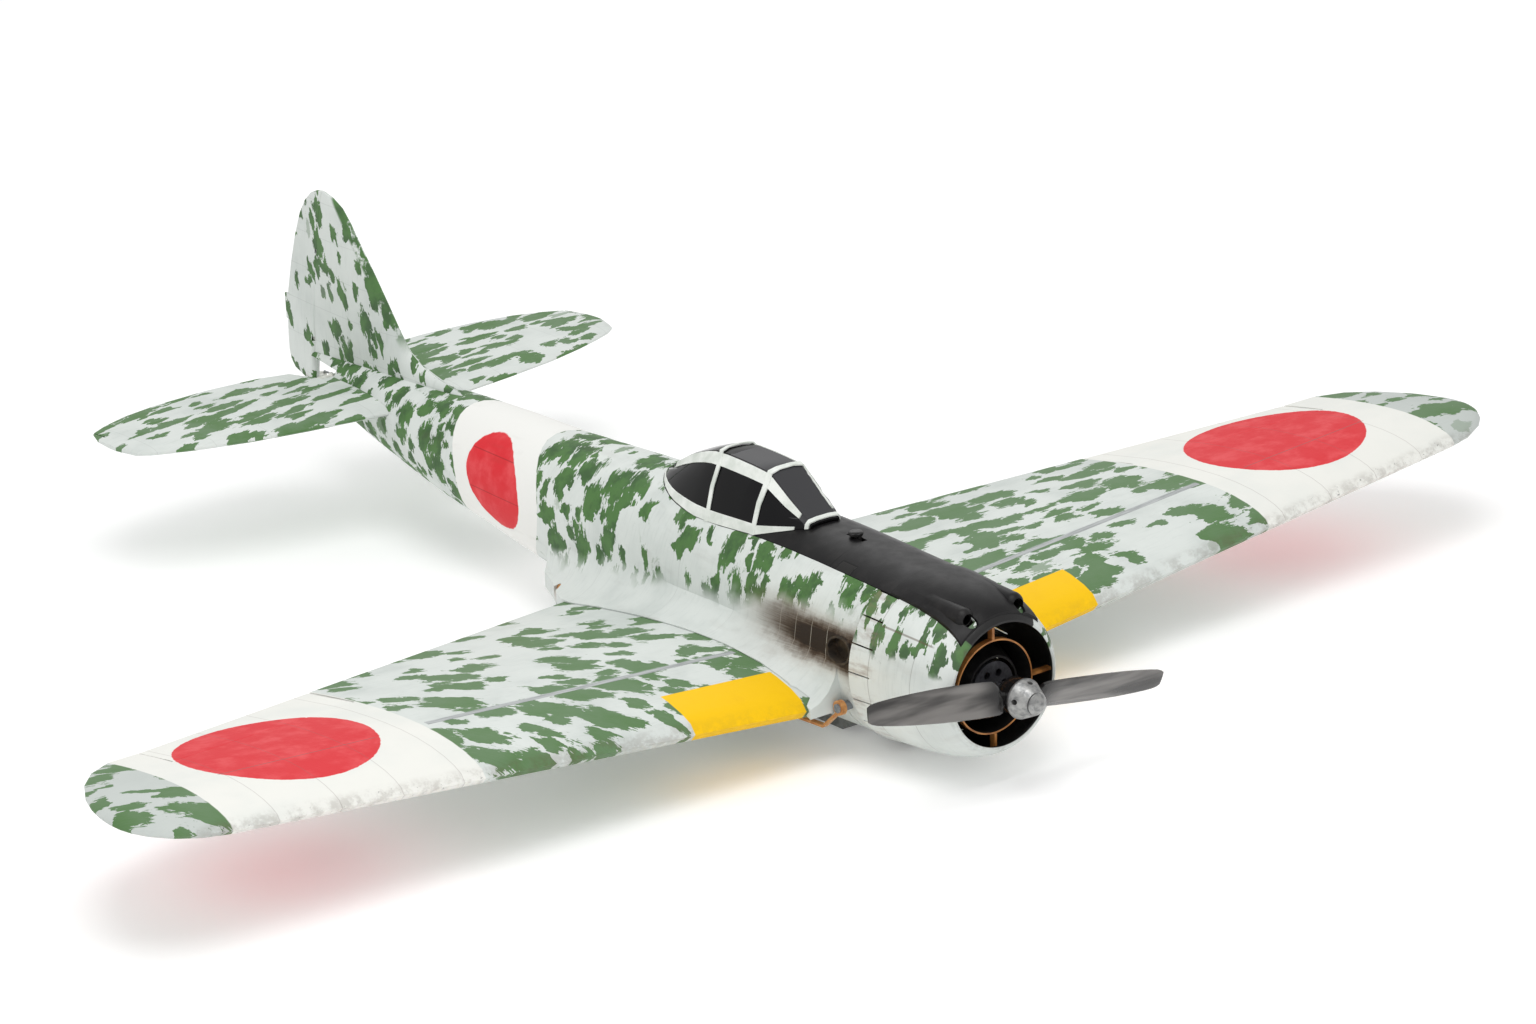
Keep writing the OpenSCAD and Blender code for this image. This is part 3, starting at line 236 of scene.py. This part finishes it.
def base_paint(g):
    """Brushed silver-white foam paint, a little uneven."""
    cloud = g.ramp(g.noise(14.0, 4.0, 0.6), 0.4, 0.75)
    drag = g.ramp(g.noise(1.0, 3.0, 0.6, at=g.vec(g.x * 60, g.y * 500, g.z * 60)), 0.5, 0.8)
    return g.mix((cloud * 0.55 + drag * 0.25).clamp(), SILVER, SILVER_DULL)


def seam(g, value, at, width=0.0005):
    return g.ramp((value - at).abs(), width, width * 0.4)


def disc_mask(g, a, b, a0, b0, r):
    away = ((a - a0) * (a - a0) + (b - b0) * (b - b0)).op("SQRT")
    ragged = g.noise(220.0, 2.0, 0.5)
    return g.ramp(away + (ragged - 0.5) * 0.0016, r + 0.0004, r - 0.0004)


def red_paint(g, colour, mask):
    worn = g.ramp(g.noise(46.0, 4.0, 0.6), 0.42, 0.72)
    return g.mix(mask, colour, g.mix(worn * 0.75, RED, RED_PALE))


def wing_paint():
    g = Graph("wing_paint")
    side = g.ramp(g.x, -0.001, 0.001)
    # Strokes run forward and inboard on the starboard wing, nearly spanwise on the port one.
    turn = side * 0.62 - 0.74
    u = g.x * turn.op("COSINE") + g.y * turn.op("SINE")
    v = g.y * turn.op("COSINE") - g.x * turn.op("SINE")
    one = brush_strokes(g, u, v, 0.040, 0.0240, 1.0, 0.58, 1.4)
    two = brush_strokes(g, u, v, 0.023, 0.0145, 9.0, 0.36, 1.7)
    green = one.max(two)
    colour = base_paint(g)
    tip = g.ramp(g.ax, 0.5405, 0.5415)
    colour = g.mix(tip * 0.75, colour, srgb(186, 192, 188))
    tint = g.ramp(g.noise(30.0, 3.0, 0.6), 0.35, 0.7)
    streak = g.noise(1.0, 3.0, 0.6, at=g.vec(u * 70, v * 800, 2.0))
    shade = g.mix((tint * 0.6 + (streak - 0.35) * 0.8).clamp(), GREEN_MUTED, GREEN)
    colour = g.mix(green * 0.93, colour, shade)
    # A grey strip along the spar, its paint rubbed thin.
    strip = g.inside(g.s, 0.2225, 0.2285, 0.0008) * g.inside(g.ax, 0.088, 0.345, 0.001)
    rubbed = g.ramp(g.noise(90.0, 3.0, 0.7), 0.35, 0.65)
    colour = g.mix(strip * (0.15 + rubbed * 0.4), colour, srgb(186, 190, 192))
    band = g.inside(g.ax, *WING_BAND, 0.0005)
    colour = g.mix(band, colour, g.mix(g.ramp(g.noise(20.0), 0.4, 0.8) * 0.5, CREAM, SILVER))
    colour = red_paint(g, colour, disc_mask(g, g.ax, g.s, *WING_DISC))
    stripe = g.inside(g.ax, *YELLOW_SPAN, 0.0004) * g.ramp(g.s, 0.1875, 0.1868)
    faded = g.ramp(g.noise(60.0), 0.5, 0.8) * 0.35
    colour = g.mix(stripe, colour, g.mix(faded, YELLOW, srgb(240, 186, 10)))
    # Fine panel lines over the white band and its disc.
    rib = g.math("PINGPONG", g.ax + 0.0105, 0.0235)
    lines = seam(g, rib, 0.0, 0.00045) * 0.3
    spar_line = seam(g, g.s, 0.2215, 0.0005) * g.inside(g.ax, 0.388, 0.510, 0.001)
    lines = (lines * band + spar_line * 0.75).clamp()
    colour = g.mix(lines, colour, srgb(120, 100, 98))
    # Dirt along the leading edge.
    lead = g.s - g.ax * 0.018 - 0.146
    grime = g.ramp(lead, 0.010, 0.0) * g.ramp(g.noise(80.0, 5.0, 0.7), 0.42, 0.62)
    colour = g.mix((grime * 0.32 * (1.0 - stripe * 0.6)).clamp(), colour, DIRT)
    chips = g.ramp(g.noise(260.0, 3.0, 0.6), 0.66, 0.70) * g.ramp(lead, 0.007, 0.002)
    colour = g.mix(chips * 0.8 * g.ramp(g.ax, 0.3, 0.4), colour, BLACK)
    rough = g.noise(40.0, 2.0) * 0.12 + 0.5
    return g.finish(colour, rough, foam_bump(g), Specular_IOR_Level=0.2)


def body_paint():
    """Fuselage, fairing and belly: green mottle above, plain below, band and disc aft."""
    g = Graph("body_paint")
    # The strokes are laid out over the unrolled skin, so the two sides differ.
    girth = g.math("ARCTAN2", g.x, g.h - BODY_AXIS) * 0.056
    u = girth + g.s * 0.22
    v = g.s - girth * 0.22
    one = brush_strokes(g, u, v, 0.027, 0.0190, 21.0, 0.56, 2.1)
    two = brush_strokes(g, u, v, 0.016, 0.0100, 33.0, 0.40, 2.2)
    low = g.h - 0.0573 + g.s * 0.138
    low = low + (g.noise(40.0, 3.0) - 0.5) * 0.028
    above = g.ramp(low, -0.006, 0.010)
    green = one.max(two) * above
    colour = base_paint(g)
    shade = g.mix(g.ramp(g.noise(55.0, 4.0, 0.65), 0.4, 0.66), GREEN, GREEN_DEEP)
    colour = g.mix(green * 0.95, colour, shade)
    haze = g.ramp(g.noise(48.0, 5.0, 0.7, 0.6), 0.60, 0.70) * above
    colour = g.mix(haze * 0.35, colour, GREEN)
    rise, fall = (g.h - 0.015) / 0.047, (g.h - 0.005) / 0.054
    fore, aft_edge = rise * rise * 0.030 + 0.512, fall * fall * 0.026 + 0.6225
    band = g.ramp(g.s - fore, -0.0005, 0.0005) * g.ramp(g.s - aft_edge, 0.0005, -0.0005)
    colour = g.mix(band, colour, srgb(234, 234, 230))
    # The disc is stretched along the body and leans with its edges.
    middle_s, middle_h, radius = BODY_DISC
    lean = (g.s - (g.h - middle_h) * BODY_DISC_LEAN) * BODY_DISC_STRETCH
    round_disc = disc_mask(g, lean, g.h, middle_s * BODY_DISC_STRETCH, middle_h, radius)
    colour = red_paint(g, colour, round_disc * g.ramp(g.ax, 0.006, 0.008))
    fold = seam(g, g.h, 0.0435, 0.0005) + seam(g, g.h, 0.016, 0.0005)
    colour = g.mix((fold * round_disc * 0.45).clamp(), colour, srgb(120, 30, 30))
    # Exhaust soot: brown-black, ragged, fading aft, crossed by pale panel lines.
    aft = g.s - 0.150
    middle = 0.016 + aft * 0.06
    across = (g.h - middle).abs() + (g.noise(60.0, 4.0, 0.65) - 0.5) * 0.012
    streak = g.ramp(across, 0.0230, 0.002) * g.ramp(g.s, 0.275, 0.150) * g.ramp(g.s, 0.118, 0.134)
    hair = g.noise(1.0, 3.0, 0.7, at=g.vec(g.h * 900, g.s * 30, 5.0))
    streak = streak * (hair * 0.9 + 0.75) * g.ramp(g.ax, 0.030, 0.045)
    colour = g.mix((streak * 1.2).clamp(), colour, srgb(120, 98, 76))
    colour = g.mix(((streak - 0.25) * 1.5).clamp(), colour, SOOT)
    panels = g.math("PINGPONG", g.s - 0.158, 0.0085)
    pale = seam(g, panels, 0.0, 0.0004) * g.inside(g.s, 0.156, 0.22) * streak
    colour = g.mix((pale * 0.5).clamp(), colour, srgb(190, 184, 172))
    # Panel lines.
    rings = seam(g, g.s, 0.330, 0.0004).max(seam(g, g.s, 0.425, 0.0004))
    rings = rings.max(seam(g, g.s, 0.262, 0.0003))
    colour = g.mix(rings * 0.16, colour, srgb(90, 92, 88))
    smear = g.ramp(g.noise(1.0, 4.0, 0.6, at=g.vec(g.s * 18, g.h * 60, g.ax * 40)), 0.55, 0.75)
    colour = g.mix(smear * 0.12, colour, DIRT)
    front = g.ramp(g.s, 0.146, 0.128) * g.ramp(g.noise(120.0, 4.0, 0.7), 0.4, 0.6)
    colour = g.mix(front * 0.35, colour, DIRT)
    return g.finish(colour, g.noise(35.0, 2.0) * 0.12 + 0.48, foam_bump(g), Specular_IOR_Level=0.2)


def tail_paint(name, upright):
    """Fin and rudder (upright) or tailplane and elevators: narrow strokes of green."""
    g = Graph(name)
    if upright:
        side = g.ramp(g.x, -0.0003, 0.0003) * 0.31
        u, v = g.h + g.s * 0.35 + side, g.s - g.h * 0.35
        first = brush_strokes(g, u, v, 0.024, 0.0115, 51.0, 0.36, 1.6)
        second = brush_strokes(g, u, v, 0.014, 0.0075, 57.0, 0.22, 1.6)
        edge = g.s - ((g.h - 0.078) * 0.86 + 0.738)
        rim = g.ramp(edge, 0.010, 0.006) * g.ramp(g.h, 0.075, 0.095)
        rim = rim * g.ramp(g.noise(60.0, 4.0, 0.6), 0.4, 0.5)
        green = first.max(second).max(rim)
    else:
        u, v = g.x + g.y * 0.18, g.y - g.x * 0.18
        first = brush_strokes(g, u, v, 0.040, 0.0135, 61.0, 0.50)
        second = brush_strokes(g, u, v, 0.024, 0.0095, 67.0, 0.30)
        green = first.max(second)
    colour = base_paint(g)
    second_green = GREEN_DEEP if upright else GREEN_MUTED
    shade = g.mix(g.ramp(g.noise(50.0, 4.0, 0.6), 0.4, 0.66), GREEN, second_green)
    colour = g.mix(green * 0.93, colour, shade)
    if upright:
        ribs = g.math("PINGPONG", g.h - 0.030, 0.0145)
    else:
        ribs = g.math("PINGPONG", g.ax, 0.021)
    colour = g.mix(seam(g, ribs, 0.0, 0.0004) * 0.14, colour, srgb(90, 94, 90))
    return g.finish(colour, g.noise(40.0, 2.0) * 0.12 + 0.5, foam_bump(g), Specular_IOR_Level=0.2)


def cowl_paint():
    g = Graph("cowl_paint")
    up = g.h - COWL_RISE
    round_r = (g.x * g.x + up * up).op("SQRT")
    cos_a = up / round_r
    girth = g.math("ARCTAN2", g.x, up) * 0.054
    u = girth + g.s * 0.2
    v = g.s - girth * 0.2
    one = brush_strokes(g, u, v, 0.026, 0.0115, 71.0, 0.55, 1.5)
    two = brush_strokes(g, u, v, 0.013, 0.0075, 77.0, 0.42, 1.7)
    above = g.ramp(cos_a + (g.noise(45.0) - 0.5) * 0.5, 0.30, 0.42)
    colour = base_paint(g)
    shade = g.mix(g.ramp(g.noise(70.0), 0.4, 0.6), GREEN, GREEN_DEEP)
    colour = g.mix(one.max(two) * above * 0.95, colour, shade)
    ring = seam(g, g.s, 0.070, 0.0004).max(seam(g, g.s, 0.1095, 0.0005))
    colour = g.mix(ring * 0.45, colour, srgb(110, 108, 104))
    # One long rusty panel line down the starboard and port shoulders.
    shoulder = seam(g, cos_a, 0.60, 0.013) * g.inside(g.s, 0.060, 0.108, 0.002)
    colour = g.mix(shoulder * 0.6, colour, DIRT)
    stain = g.noise(1.0, 4.0, 0.65, at=g.vec(g.s * 26, cos_a * 6, g.x * 30))
    flaps = g.ramp(g.s, 0.100, 0.112)
    stained = g.ramp(stain, 0.48, 0.72) * (flaps * 0.45 + 0.10)
    colour = g.mix(stained.clamp(), colour, srgb(128, 104, 88))
    rim = g.ramp(g.s, 0.046, 0.0415) * g.ramp(g.noise(140.0, 4.0, 0.7), 0.48, 0.7)
    colour = g.mix(rim * 0.25, colour, DIRT)
    # Painted shade: faces aft of the lip that look in towards the engine are painted near black, for the
    # shade inside the cowl.
    inner_shade = facing_axis(g, COWL_RISE) * g.ramp(g.s, 0.0410, 0.0416)
    # The black deck paint runs over the top of the lip.
    over = g.ramp(cos_a, 0.79, 0.80) * g.ramp(g.s, 0.0455, 0.0450)
    colour = g.mix(inner_shade.max(over), colour, srgb(14, 13, 13))
    return g.finish(colour, g.noise(40.0, 2.0) * 0.14 + 0.36, foam_bump(g), Specular_IOR_Level=0.45)


def deck_paint():
    """Flat black anti-glare paint with an access panel and a joint line."""
    g = Graph("deck_black")
    cloud = g.ramp(g.noise(60.0, 5.0, 0.65), 0.45, 0.8)
    scuff = g.ramp(g.noise(1.0, 4.0, 0.7, at=g.vec(g.x * 500, g.y * 60, g.z * 500)), 0.62, 0.75)
    colour = g.mix((cloud * 0.5 + scuff * 0.35).clamp(), srgb(16, 15, 16), srgb(46, 44, 43))
    joint = seam(g, g.s, 0.1170, 0.0006)
    colour = g.mix(joint, colour, srgb(4, 4, 4))
    # A small recessed panel on the starboard shoulder; the rim round it is painted near black as painted
    # shade along the recess edge.
    across, along = (g.x + 0.0305).abs(), (g.s - 0.170).abs()
    panel = g.ramp(across, 0.0045, 0.0040) * g.ramp(along, 0.0075, 0.0070)
    recess_rim_shade = g.ramp(across, 0.0055, 0.0050) * g.ramp(along, 0.0085, 0.0080) - panel
    colour = g.mix(panel, colour, srgb(30, 29, 28))
    colour = g.mix(recess_rim_shade.clamp(), colour, srgb(3, 3, 3))
    # The groove aft of it, and the slot that the latch knob slides in.
    groove = seam(g, g.s, 0.1835, 0.0007) * g.inside(g.x, -0.034, -0.014, 0.0003)
    run = (g.s - 0.2045).abs() - 0.0050
    slot = (g.x * g.x + run.max(0.0) * run.max(0.0)).op("SQRT")
    colour = g.mix(groove.max(g.ramp(slot, 0.0030, 0.0027)), colour, srgb(2, 2, 2))
    height = g.noise(700.0, 3.0, 0.6) * 0.2 - panel
    return g.finish(colour, g.noise(90.0, 3.0) * 0.25 + 0.28, g.bump(height, 0.0004, 0.5),
                    Specular_IOR_Level=0.22)


def canopy_paint():
    """Glossy black glazing with a dark grey painted reflection over the roof."""
    g = Graph("canopy_black")
    colour = g.mix(g.ramp(g.noise(8.0, 4.0, 0.6), 0.35, 0.7), srgb(7, 7, 8), srgb(18, 18, 20))
    # Painted reflection: the top of the glazing is painted dark grey where it catches the light from
    # above.
    roof_reflection = g.inside(g.s, 0.232, 0.317, 0.0004) * g.ramp(g.ax, 0.0155, 0.0150)
    colour = g.mix(roof_reflection, colour, srgb(58, 58, 60))
    return g.finish(colour, roof_reflection * 0.3 + 0.07, g.bump(g.noise(32.0, 3.0), 0.00002, 0.6),
                    Specular_IOR_Level=0.22)


def blade_paint():
    """Smoky moulded nylon, near black at the hub and paler towards the tips."""
    g = Graph("blade_grey")
    radius = (g.x * g.x + g.h * g.h).op("SQRT")
    cloud = g.ramp(g.noise(14.0, 3.0, 0.5), 0.35, 0.7)
    # Painted sheen: light and dark streaks along the blades stand for the glossy reflections on them, laid
    # over the smoky nylon colour.
    painted_sheen = g.ramp(g.noise(1.0, 3.0, 0.5, at=g.vec(g.x * 9, g.y * 130, g.h * 60)), 0.38, 0.66)
    smoke_and_sheen = g.mix(painted_sheen, srgb(46, 44, 43), srgb(120, 117, 114))
    colour = g.mix(g.ramp(radius, 0.018, 0.040), srgb(24, 23, 23), smoke_and_sheen)
    return g.finish(colour, cloud * 0.06 + 0.12, g.bump(g.noise(60.0, 2.0), 0.00003, 0.6),
                    Coat_Weight=0.25, Coat_Roughness=0.08, Specular_IOR_Level=0.5)


def duct_paint():
    """Orange ply, with the inner wall and the ring aft of its front edge painted near black as painted
    shade inside the cowl.
    """
    g = Graph("duct_ply")
    fibre = g.ramp(g.noise(1.0, 3.0, 0.6, at=g.vec(g.x * 90, g.y * 18, g.z * 90)), 0.35, 0.7)
    colour = g.mix(fibre, srgb(206, 140, 74), srgb(150, 92, 44))
    # Painted shade: the inner wall and the ring aft of its front edge are painted near black.
    inner_shade = facing_axis(g, COWL_RISE).max(g.ramp(g.s, 0.0545, 0.0560))
    colour = g.mix(inner_shade, colour, srgb(20, 19, 18))
    return g.finish(colour, 0.5, g.bump(fibre, 0.0002, 0.5))


def plain(name, first, second, scale, rough, depth=0.0001, grain=None, **extra):
    """Two-tone material with grain: a plastic, metal, wood or cloth."""
    g = Graph(name)
    at = g.point if grain is None else g.vec(g.x * grain[0], g.y * grain[1], g.z * grain[2])
    tone = g.ramp(g.noise(scale, 4.0, 0.6, at=at), 0.35, 0.7)
    colour = g.mix(tone, first, second)
    normal = g.bump(g.noise(scale * 4, 3.0, 0.6, at=at), depth, 0.6)
    return g.finish(colour, tone * 0.14 + rough, normal, **extra)


def webbing():
    g = Graph("strap_web")
    weave = g.math("SINE", g.x * 5200) * g.math("SINE", g.y * 5200)
    colour = g.mix(g.ramp(weave, -0.4, 0.6), srgb(18, 18, 20), srgb(52, 52, 55))
    return g.finish(colour, 0.85, g.bump(weave, 0.0003, 0.8), Sheen_Weight=0.3)


materials = {
    "wing": wing_paint(),
    "body": body_paint(),
    "fin": tail_paint("fin_paint", True),
    "stab": tail_paint("stab_paint", False),
    "cowl": cowl_paint(),
    "deck": deck_paint(),
    "glazing": canopy_paint(),
    "frame": plain("frame_white", srgb(232, 235, 230), srgb(206, 212, 204), 60.0, 0.45, 0.0001),
    "blade": blade_paint(),
    "cast": plain("cast_aluminium", srgb(168, 168, 166), srgb(128, 129, 129), 260.0, 0.34, 0.0002,
                  Metallic=0.85),
    "steel": plain("drawn_steel", srgb(176, 176, 180), srgb(140, 140, 146), 200.0, 0.2, 0.00005,
                   grain=(8.0, 0.6, 8.0), Metallic=1.0),
    "bell": plain("motor_metal", srgb(92, 92, 96), srgb(60, 60, 64), 150.0, 0.3, 0.0001, Metallic=0.8),
    "engine": plain("engine_black", srgb(10, 9, 9), srgb(24, 22, 20), 120.0, 0.4, 0.0003,
                    Specular_IOR_Level=0.25),
    "duct": duct_paint(),
    "ply": plain("plywood", srgb(206, 174, 128), srgb(172, 136, 92), 30.0, 0.6, 0.0002,
                 grain=(4.0, 0.4, 4.0)),
    "carbon": plain("carbon_strip", srgb(176, 180, 180), srgb(146, 150, 150), 90.0, 0.45, 0.0001,
                    grain=(0.3, 6.0, 6.0)),
    "nylon": plain("white_nylon", srgb(232, 232, 226), srgb(214, 214, 206), 160.0, 0.42, 0.0001),
    "servo": plain("servo_blue", srgb(30, 64, 140), srgb(22, 44, 104), 50.0, 0.22, 0.00005),
    "battery": plain("battery_wrap", srgb(26, 52, 112), srgb(18, 36, 84), 40.0, 0.25, 0.0002),
    "shrink": plain("shrink_sleeve", srgb(24, 24, 28), srgb(40, 40, 46), 60.0, 0.3, 0.0002),
    "skid": plain("skid_grey", srgb(124, 126, 124), srgb(88, 90, 88), 120.0, 0.6, 0.0003),
    "knob": plain("knob_black", srgb(14, 14, 14), srgb(36, 35, 34), 200.0, 0.28, 0.0001,
                  Specular_IOR_Level=0.4),
    "scoop": plain("scoop_grey", srgb(84, 92, 84), srgb(46, 52, 46), 70.0, 0.5, 0.0002),
    "exhaust": plain("sooty_metal", srgb(40, 34, 28), srgb(78, 66, 52), 120.0, 0.55, 0.0003, Metallic=0.3),
    "dowel": plain("grey_dowel", srgb(128, 132, 134), srgb(98, 102, 106), 60.0, 0.5, 0.0001,
                   grain=(0.5, 6.0, 6.0)),
    "rubber": plain("tan_rubber", srgb(206, 146, 88), srgb(176, 112, 60), 120.0, 0.45, 0.0001,
                    Subsurface_Weight=0.15),
    "web": webbing(),
}

node_looks = {
    "wing": "wing_left wing_right aileron_left aileron_right",
    "body": "fuselage_left_half fuselage_right_half belly_pan",
    "fin": "vertical_fin rudder",
    "stab": "horizontal_stabilizer elevator_left elevator_right",
    "cowl": "cowl_shell cowl_flaps",
    "deck": "gun_cover hatch_deck hatch_latch",
    "glazing": "canopy_glass",
    "frame": "canopy_frame",
    "blade": "propeller_blades",
    "cast": "spinner_nut",
    "steel": "prop_shaft motor_screws elevator_pushrod rudder_pushrod aileron_pushrod_left "
             "aileron_pushrod_right",
    "bell": "motor_bell motor_stator",
    "engine": "crankcase_cone gun_ports",
    "duct": "cooling_duct_ring",
    "ply": "motor_box equipment_tray hatch_former",
    "carbon": "wing_spars spar_joiner",
    "nylon": "hinge_lugs aileron_fittings_left aileron_fittings_right elevator_fittings rudder_fittings "
             "elevator_servo_arm rudder_servo_arm aileron_servo_arm_left aileron_servo_arm_right",
    "servo": "elevator_servo rudder_servo aileron_servos",
    "battery": "battery",
    "web": "battery_strap",
    "shrink": "speed_controller receiver",
    "skid": "belly_skid",
    "scoop": "chin_scoop",
    "exhaust": "exhaust_stubs",
    "dowel": "wing_dowels",
    "rubber": "wing_bands",
}


MERGE_DISTANCE = 0.00001
SHARP_ANGLE = math.radians(32)


def smoother():
    """Modifier tree: joins the facets' corners and shades all but the sharp edges smooth."""
    tree = bpy.data.node_groups.new("smooth_shading", "GeometryNodeTree")
    tree.interface.new_socket("Geometry", in_out="INPUT", socket_type="NodeSocketGeometry")
    tree.interface.new_socket("Geometry", in_out="OUTPUT", socket_type="NodeSocketGeometry")
    new, wire = tree.nodes.new, tree.links.new
    start, end = new("NodeGroupInput"), new("NodeGroupOutput")
    drop = new("GeometryNodeRemoveAttribute")
    drop.inputs["Name"].default_value = "custom_normal"
    merge = new("GeometryNodeMergeByDistance")
    merge.inputs["Distance"].default_value = MERGE_DISTANCE
    faces = new("GeometryNodeSetShadeSmooth")
    edges = new("GeometryNodeSetShadeSmooth")
    edges.domain = "EDGE"
    edges.inputs["Shade Smooth"].default_value = False
    angle = new("GeometryNodeInputMeshEdgeAngle")
    sharp = new("FunctionNodeCompare")
    sharp.operation = "GREATER_THAN"
    sharp.inputs[1].default_value = SHARP_ANGLE
    wire(start.outputs[0], drop.inputs["Geometry"])
    wire(drop.outputs["Geometry"], merge.inputs["Geometry"])
    wire(merge.outputs["Geometry"], faces.inputs["Geometry"])
    wire(faces.outputs["Geometry"], edges.inputs["Geometry"])
    wire(angle.outputs["Unsigned Angle"], sharp.inputs[0])
    wire(sharp.outputs[0], edges.inputs["Selection"])
    wire(edges.outputs["Geometry"], end.inputs[0])
    return tree


smooth_tree = smoother()
for look, names in node_looks.items():
    for name in names.split():
        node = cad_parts[name]
        node.data.materials.clear()
        node.data.materials.append(materials[look])
        node.modifiers.new("smooth_shading", "NODES").node_group = smooth_tree

# ---------------------------------------------------------------- latch
LATCH_Y = LATCH_S - LENGTH / 2


def turned_solid(bm, place, profile, count=48, ripple=0.0):
    """A turned solid from (radius, height) pairs; ripple shortens every other ray for a grip."""
    rings = []
    for radius, height in profile:
        ring = []
        for k in range(count):
            angle = math.tau * k / count
            r = radius * (1 - ripple * (k % 2))
            ring.append(bm.verts.new(place @ Vector((r * math.cos(angle), r * math.sin(angle), height))))
        rings.append(ring)
    for low, high in zip(rings, rings[1:]):
        for k in range(count):
            n = (k + 1) % count
            bm.faces.new((low[k], low[n], high[n], high[k]))
    bm.faces.new(rings[0][::-1])
    bm.faces.new(rings[-1])


def block(bm, low, high):
    made = bmesh.ops.create_cube(bm, size=1.0)["verts"]
    middle = (Vector(low) + Vector(high)) / 2
    size = Vector(high) - Vector(low)
    for v in made:
        v.co = Vector(v.co[i] * size[i] for i in range(3)) + middle


def latch_piece():
    """Sliding hatch latch: plate, stem and pin below, a knurled knob above."""
    bm = bmesh.new()
    block(bm, (-0.0040, LATCH_Y - 0.0080, THRUST + 0.0600), (0.0040, LATCH_Y + 0.0080, THRUST + 0.0621))
    block(bm, (-0.0019, LATCH_Y - 0.0040, THRUST + 0.0620), (0.0019, LATCH_Y + 0.0040, THRUST + 0.0710))
    pin = Matrix.Translation((0, LATCH_Y - 0.0070, THRUST + 0.0610)) @ Matrix.Rotation(math.pi / 2, 4, "X")
    turned_solid(bm, pin, [(0.0012, 0.0), (0.0015, 0.0003), (0.0015, 0.0494), (0.0010, 0.0500)], 24)
    knob = Matrix.Translation((0, LATCH_Y, THRUST + 0.0709))
    grip = [(0.0046, 0.0), (0.0052, 0.0005), (0.0052, 0.0020), (0.0048, 0.0024)]
    turned_solid(bm, knob, grip, 64, 0.05)
    turned_solid(bm, knob, [(0.0045, 0.0023), (0.0044, 0.0029), (0.0036, 0.0032), (0.0020, 0.0034)])
    mesh = bpy.data.meshes.new("latch_knob")
    bmesh.ops.recalc_face_normals(bm, faces=bm.faces)
    bm.to_mesh(mesh)
    bm.free()
    mesh.materials.append(materials["knob"])
    piece = bpy.data.objects.new("latch_knob", mesh)
    bpy.context.scene.collection.objects.link(piece)
    piece.modifiers.new("smooth_shading", "NODES").node_group = smooth_tree
    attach(piece, "latch")
    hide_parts("hatch_latch")


latch_piece()

# ---------------------------------------------------------------- stage
FLOOR_HALF = 9.0
FLOOR_GLOW = 0.17
WORLD_LIGHT = 0.70
floor_mesh = bpy.data.meshes.new("floor")
floor_corners = [(x * FLOOR_HALF, y * FLOOR_HALF, 0) for x, y in ((-1, -1), (1, -1), (1, 1), (-1, 1))]
floor_mesh.from_pydata(floor_corners, [], [(0, 1, 2, 3)])
floor = bpy.data.objects.new("floor", floor_mesh)
bpy.context.scene.collection.objects.link(floor)
g = Graph("floor_white")
tone = g.noise(3.0, 2.0) * 0.01 + 0.92
floor_mesh.materials.append(g.finish(g.vec(tone, tone, tone), 0.9, Specular_IOR_Level=0.1,
                                     Emission_Color=(1, 1, 1, 1), Emission_Strength=FLOOR_GLOW))

scene = bpy.context.scene
world = bpy.data.worlds.new("studio")
scene.world = world
world.use_nodes = True
world.node_tree.nodes["Background"].inputs[0].default_value = (1.0, 1.0, 1.0, 1.0)
world.node_tree.nodes["Background"].inputs[1].default_value = WORLD_LIGHT
scene.view_settings.view_transform = "Standard"


def softbox(name, place, aim, size, watts):
    data = bpy.data.lights.new(name, "AREA")
    data.shape = "RECTANGLE"
    data.size, data.size_y = size
    data.energy = watts
    lamp = bpy.data.objects.new(name, data)
    lamp.location = place
    lamp.rotation_euler = (Vector(aim) - Vector(place)).to_track_quat("-Z", "Y").to_euler()
    scene.collection.objects.link(lamp)


softbox("key", (-0.5, -0.7, 2.3), (0, 0, 0.05), (1.5, 1.5), 24)
softbox("fill", (-2.4, -1.6, 1.3), (0, 0, 0.1), (1.8, 1.2), 5)
softbox("rim", (1.6, 2.0, 1.8), (0, 0, 0.1), (2.0, 1.0), 9)

# ---------------------------------------------------------------- camera
LENS = 125.91
CAMERA_PLACE = (-2.17035, -3.00102, 1.39875)
AZIMUTH, ELEVATION, ROLL = (math.radians(a) for a in (-37.3846, 19.5654, -2.1745))
back = Vector((math.sin(AZIMUTH) * math.cos(ELEVATION), -math.cos(AZIMUTH) * math.cos(ELEVATION),
               math.sin(ELEVATION)))
level = (-back).cross(Vector((0, 0, 1))).normalized()
upright = level.cross(-back)
right = math.cos(ROLL) * level + math.sin(ROLL) * upright
above = -math.sin(ROLL) * level + math.cos(ROLL) * upright
camera_data = bpy.data.cameras.new("camera")
camera_data.lens = LENS
camera_data.sensor_width = 36.0
camera_data.clip_end = 50.0
camera = bpy.data.objects.new("camera", camera_data)
turned = Matrix((right, above, back)).transposed().to_4x4()
camera.matrix_world = Matrix.Translation(CAMERA_PLACE) @ turned
scene.collection.objects.link(camera)
scene.camera = camera
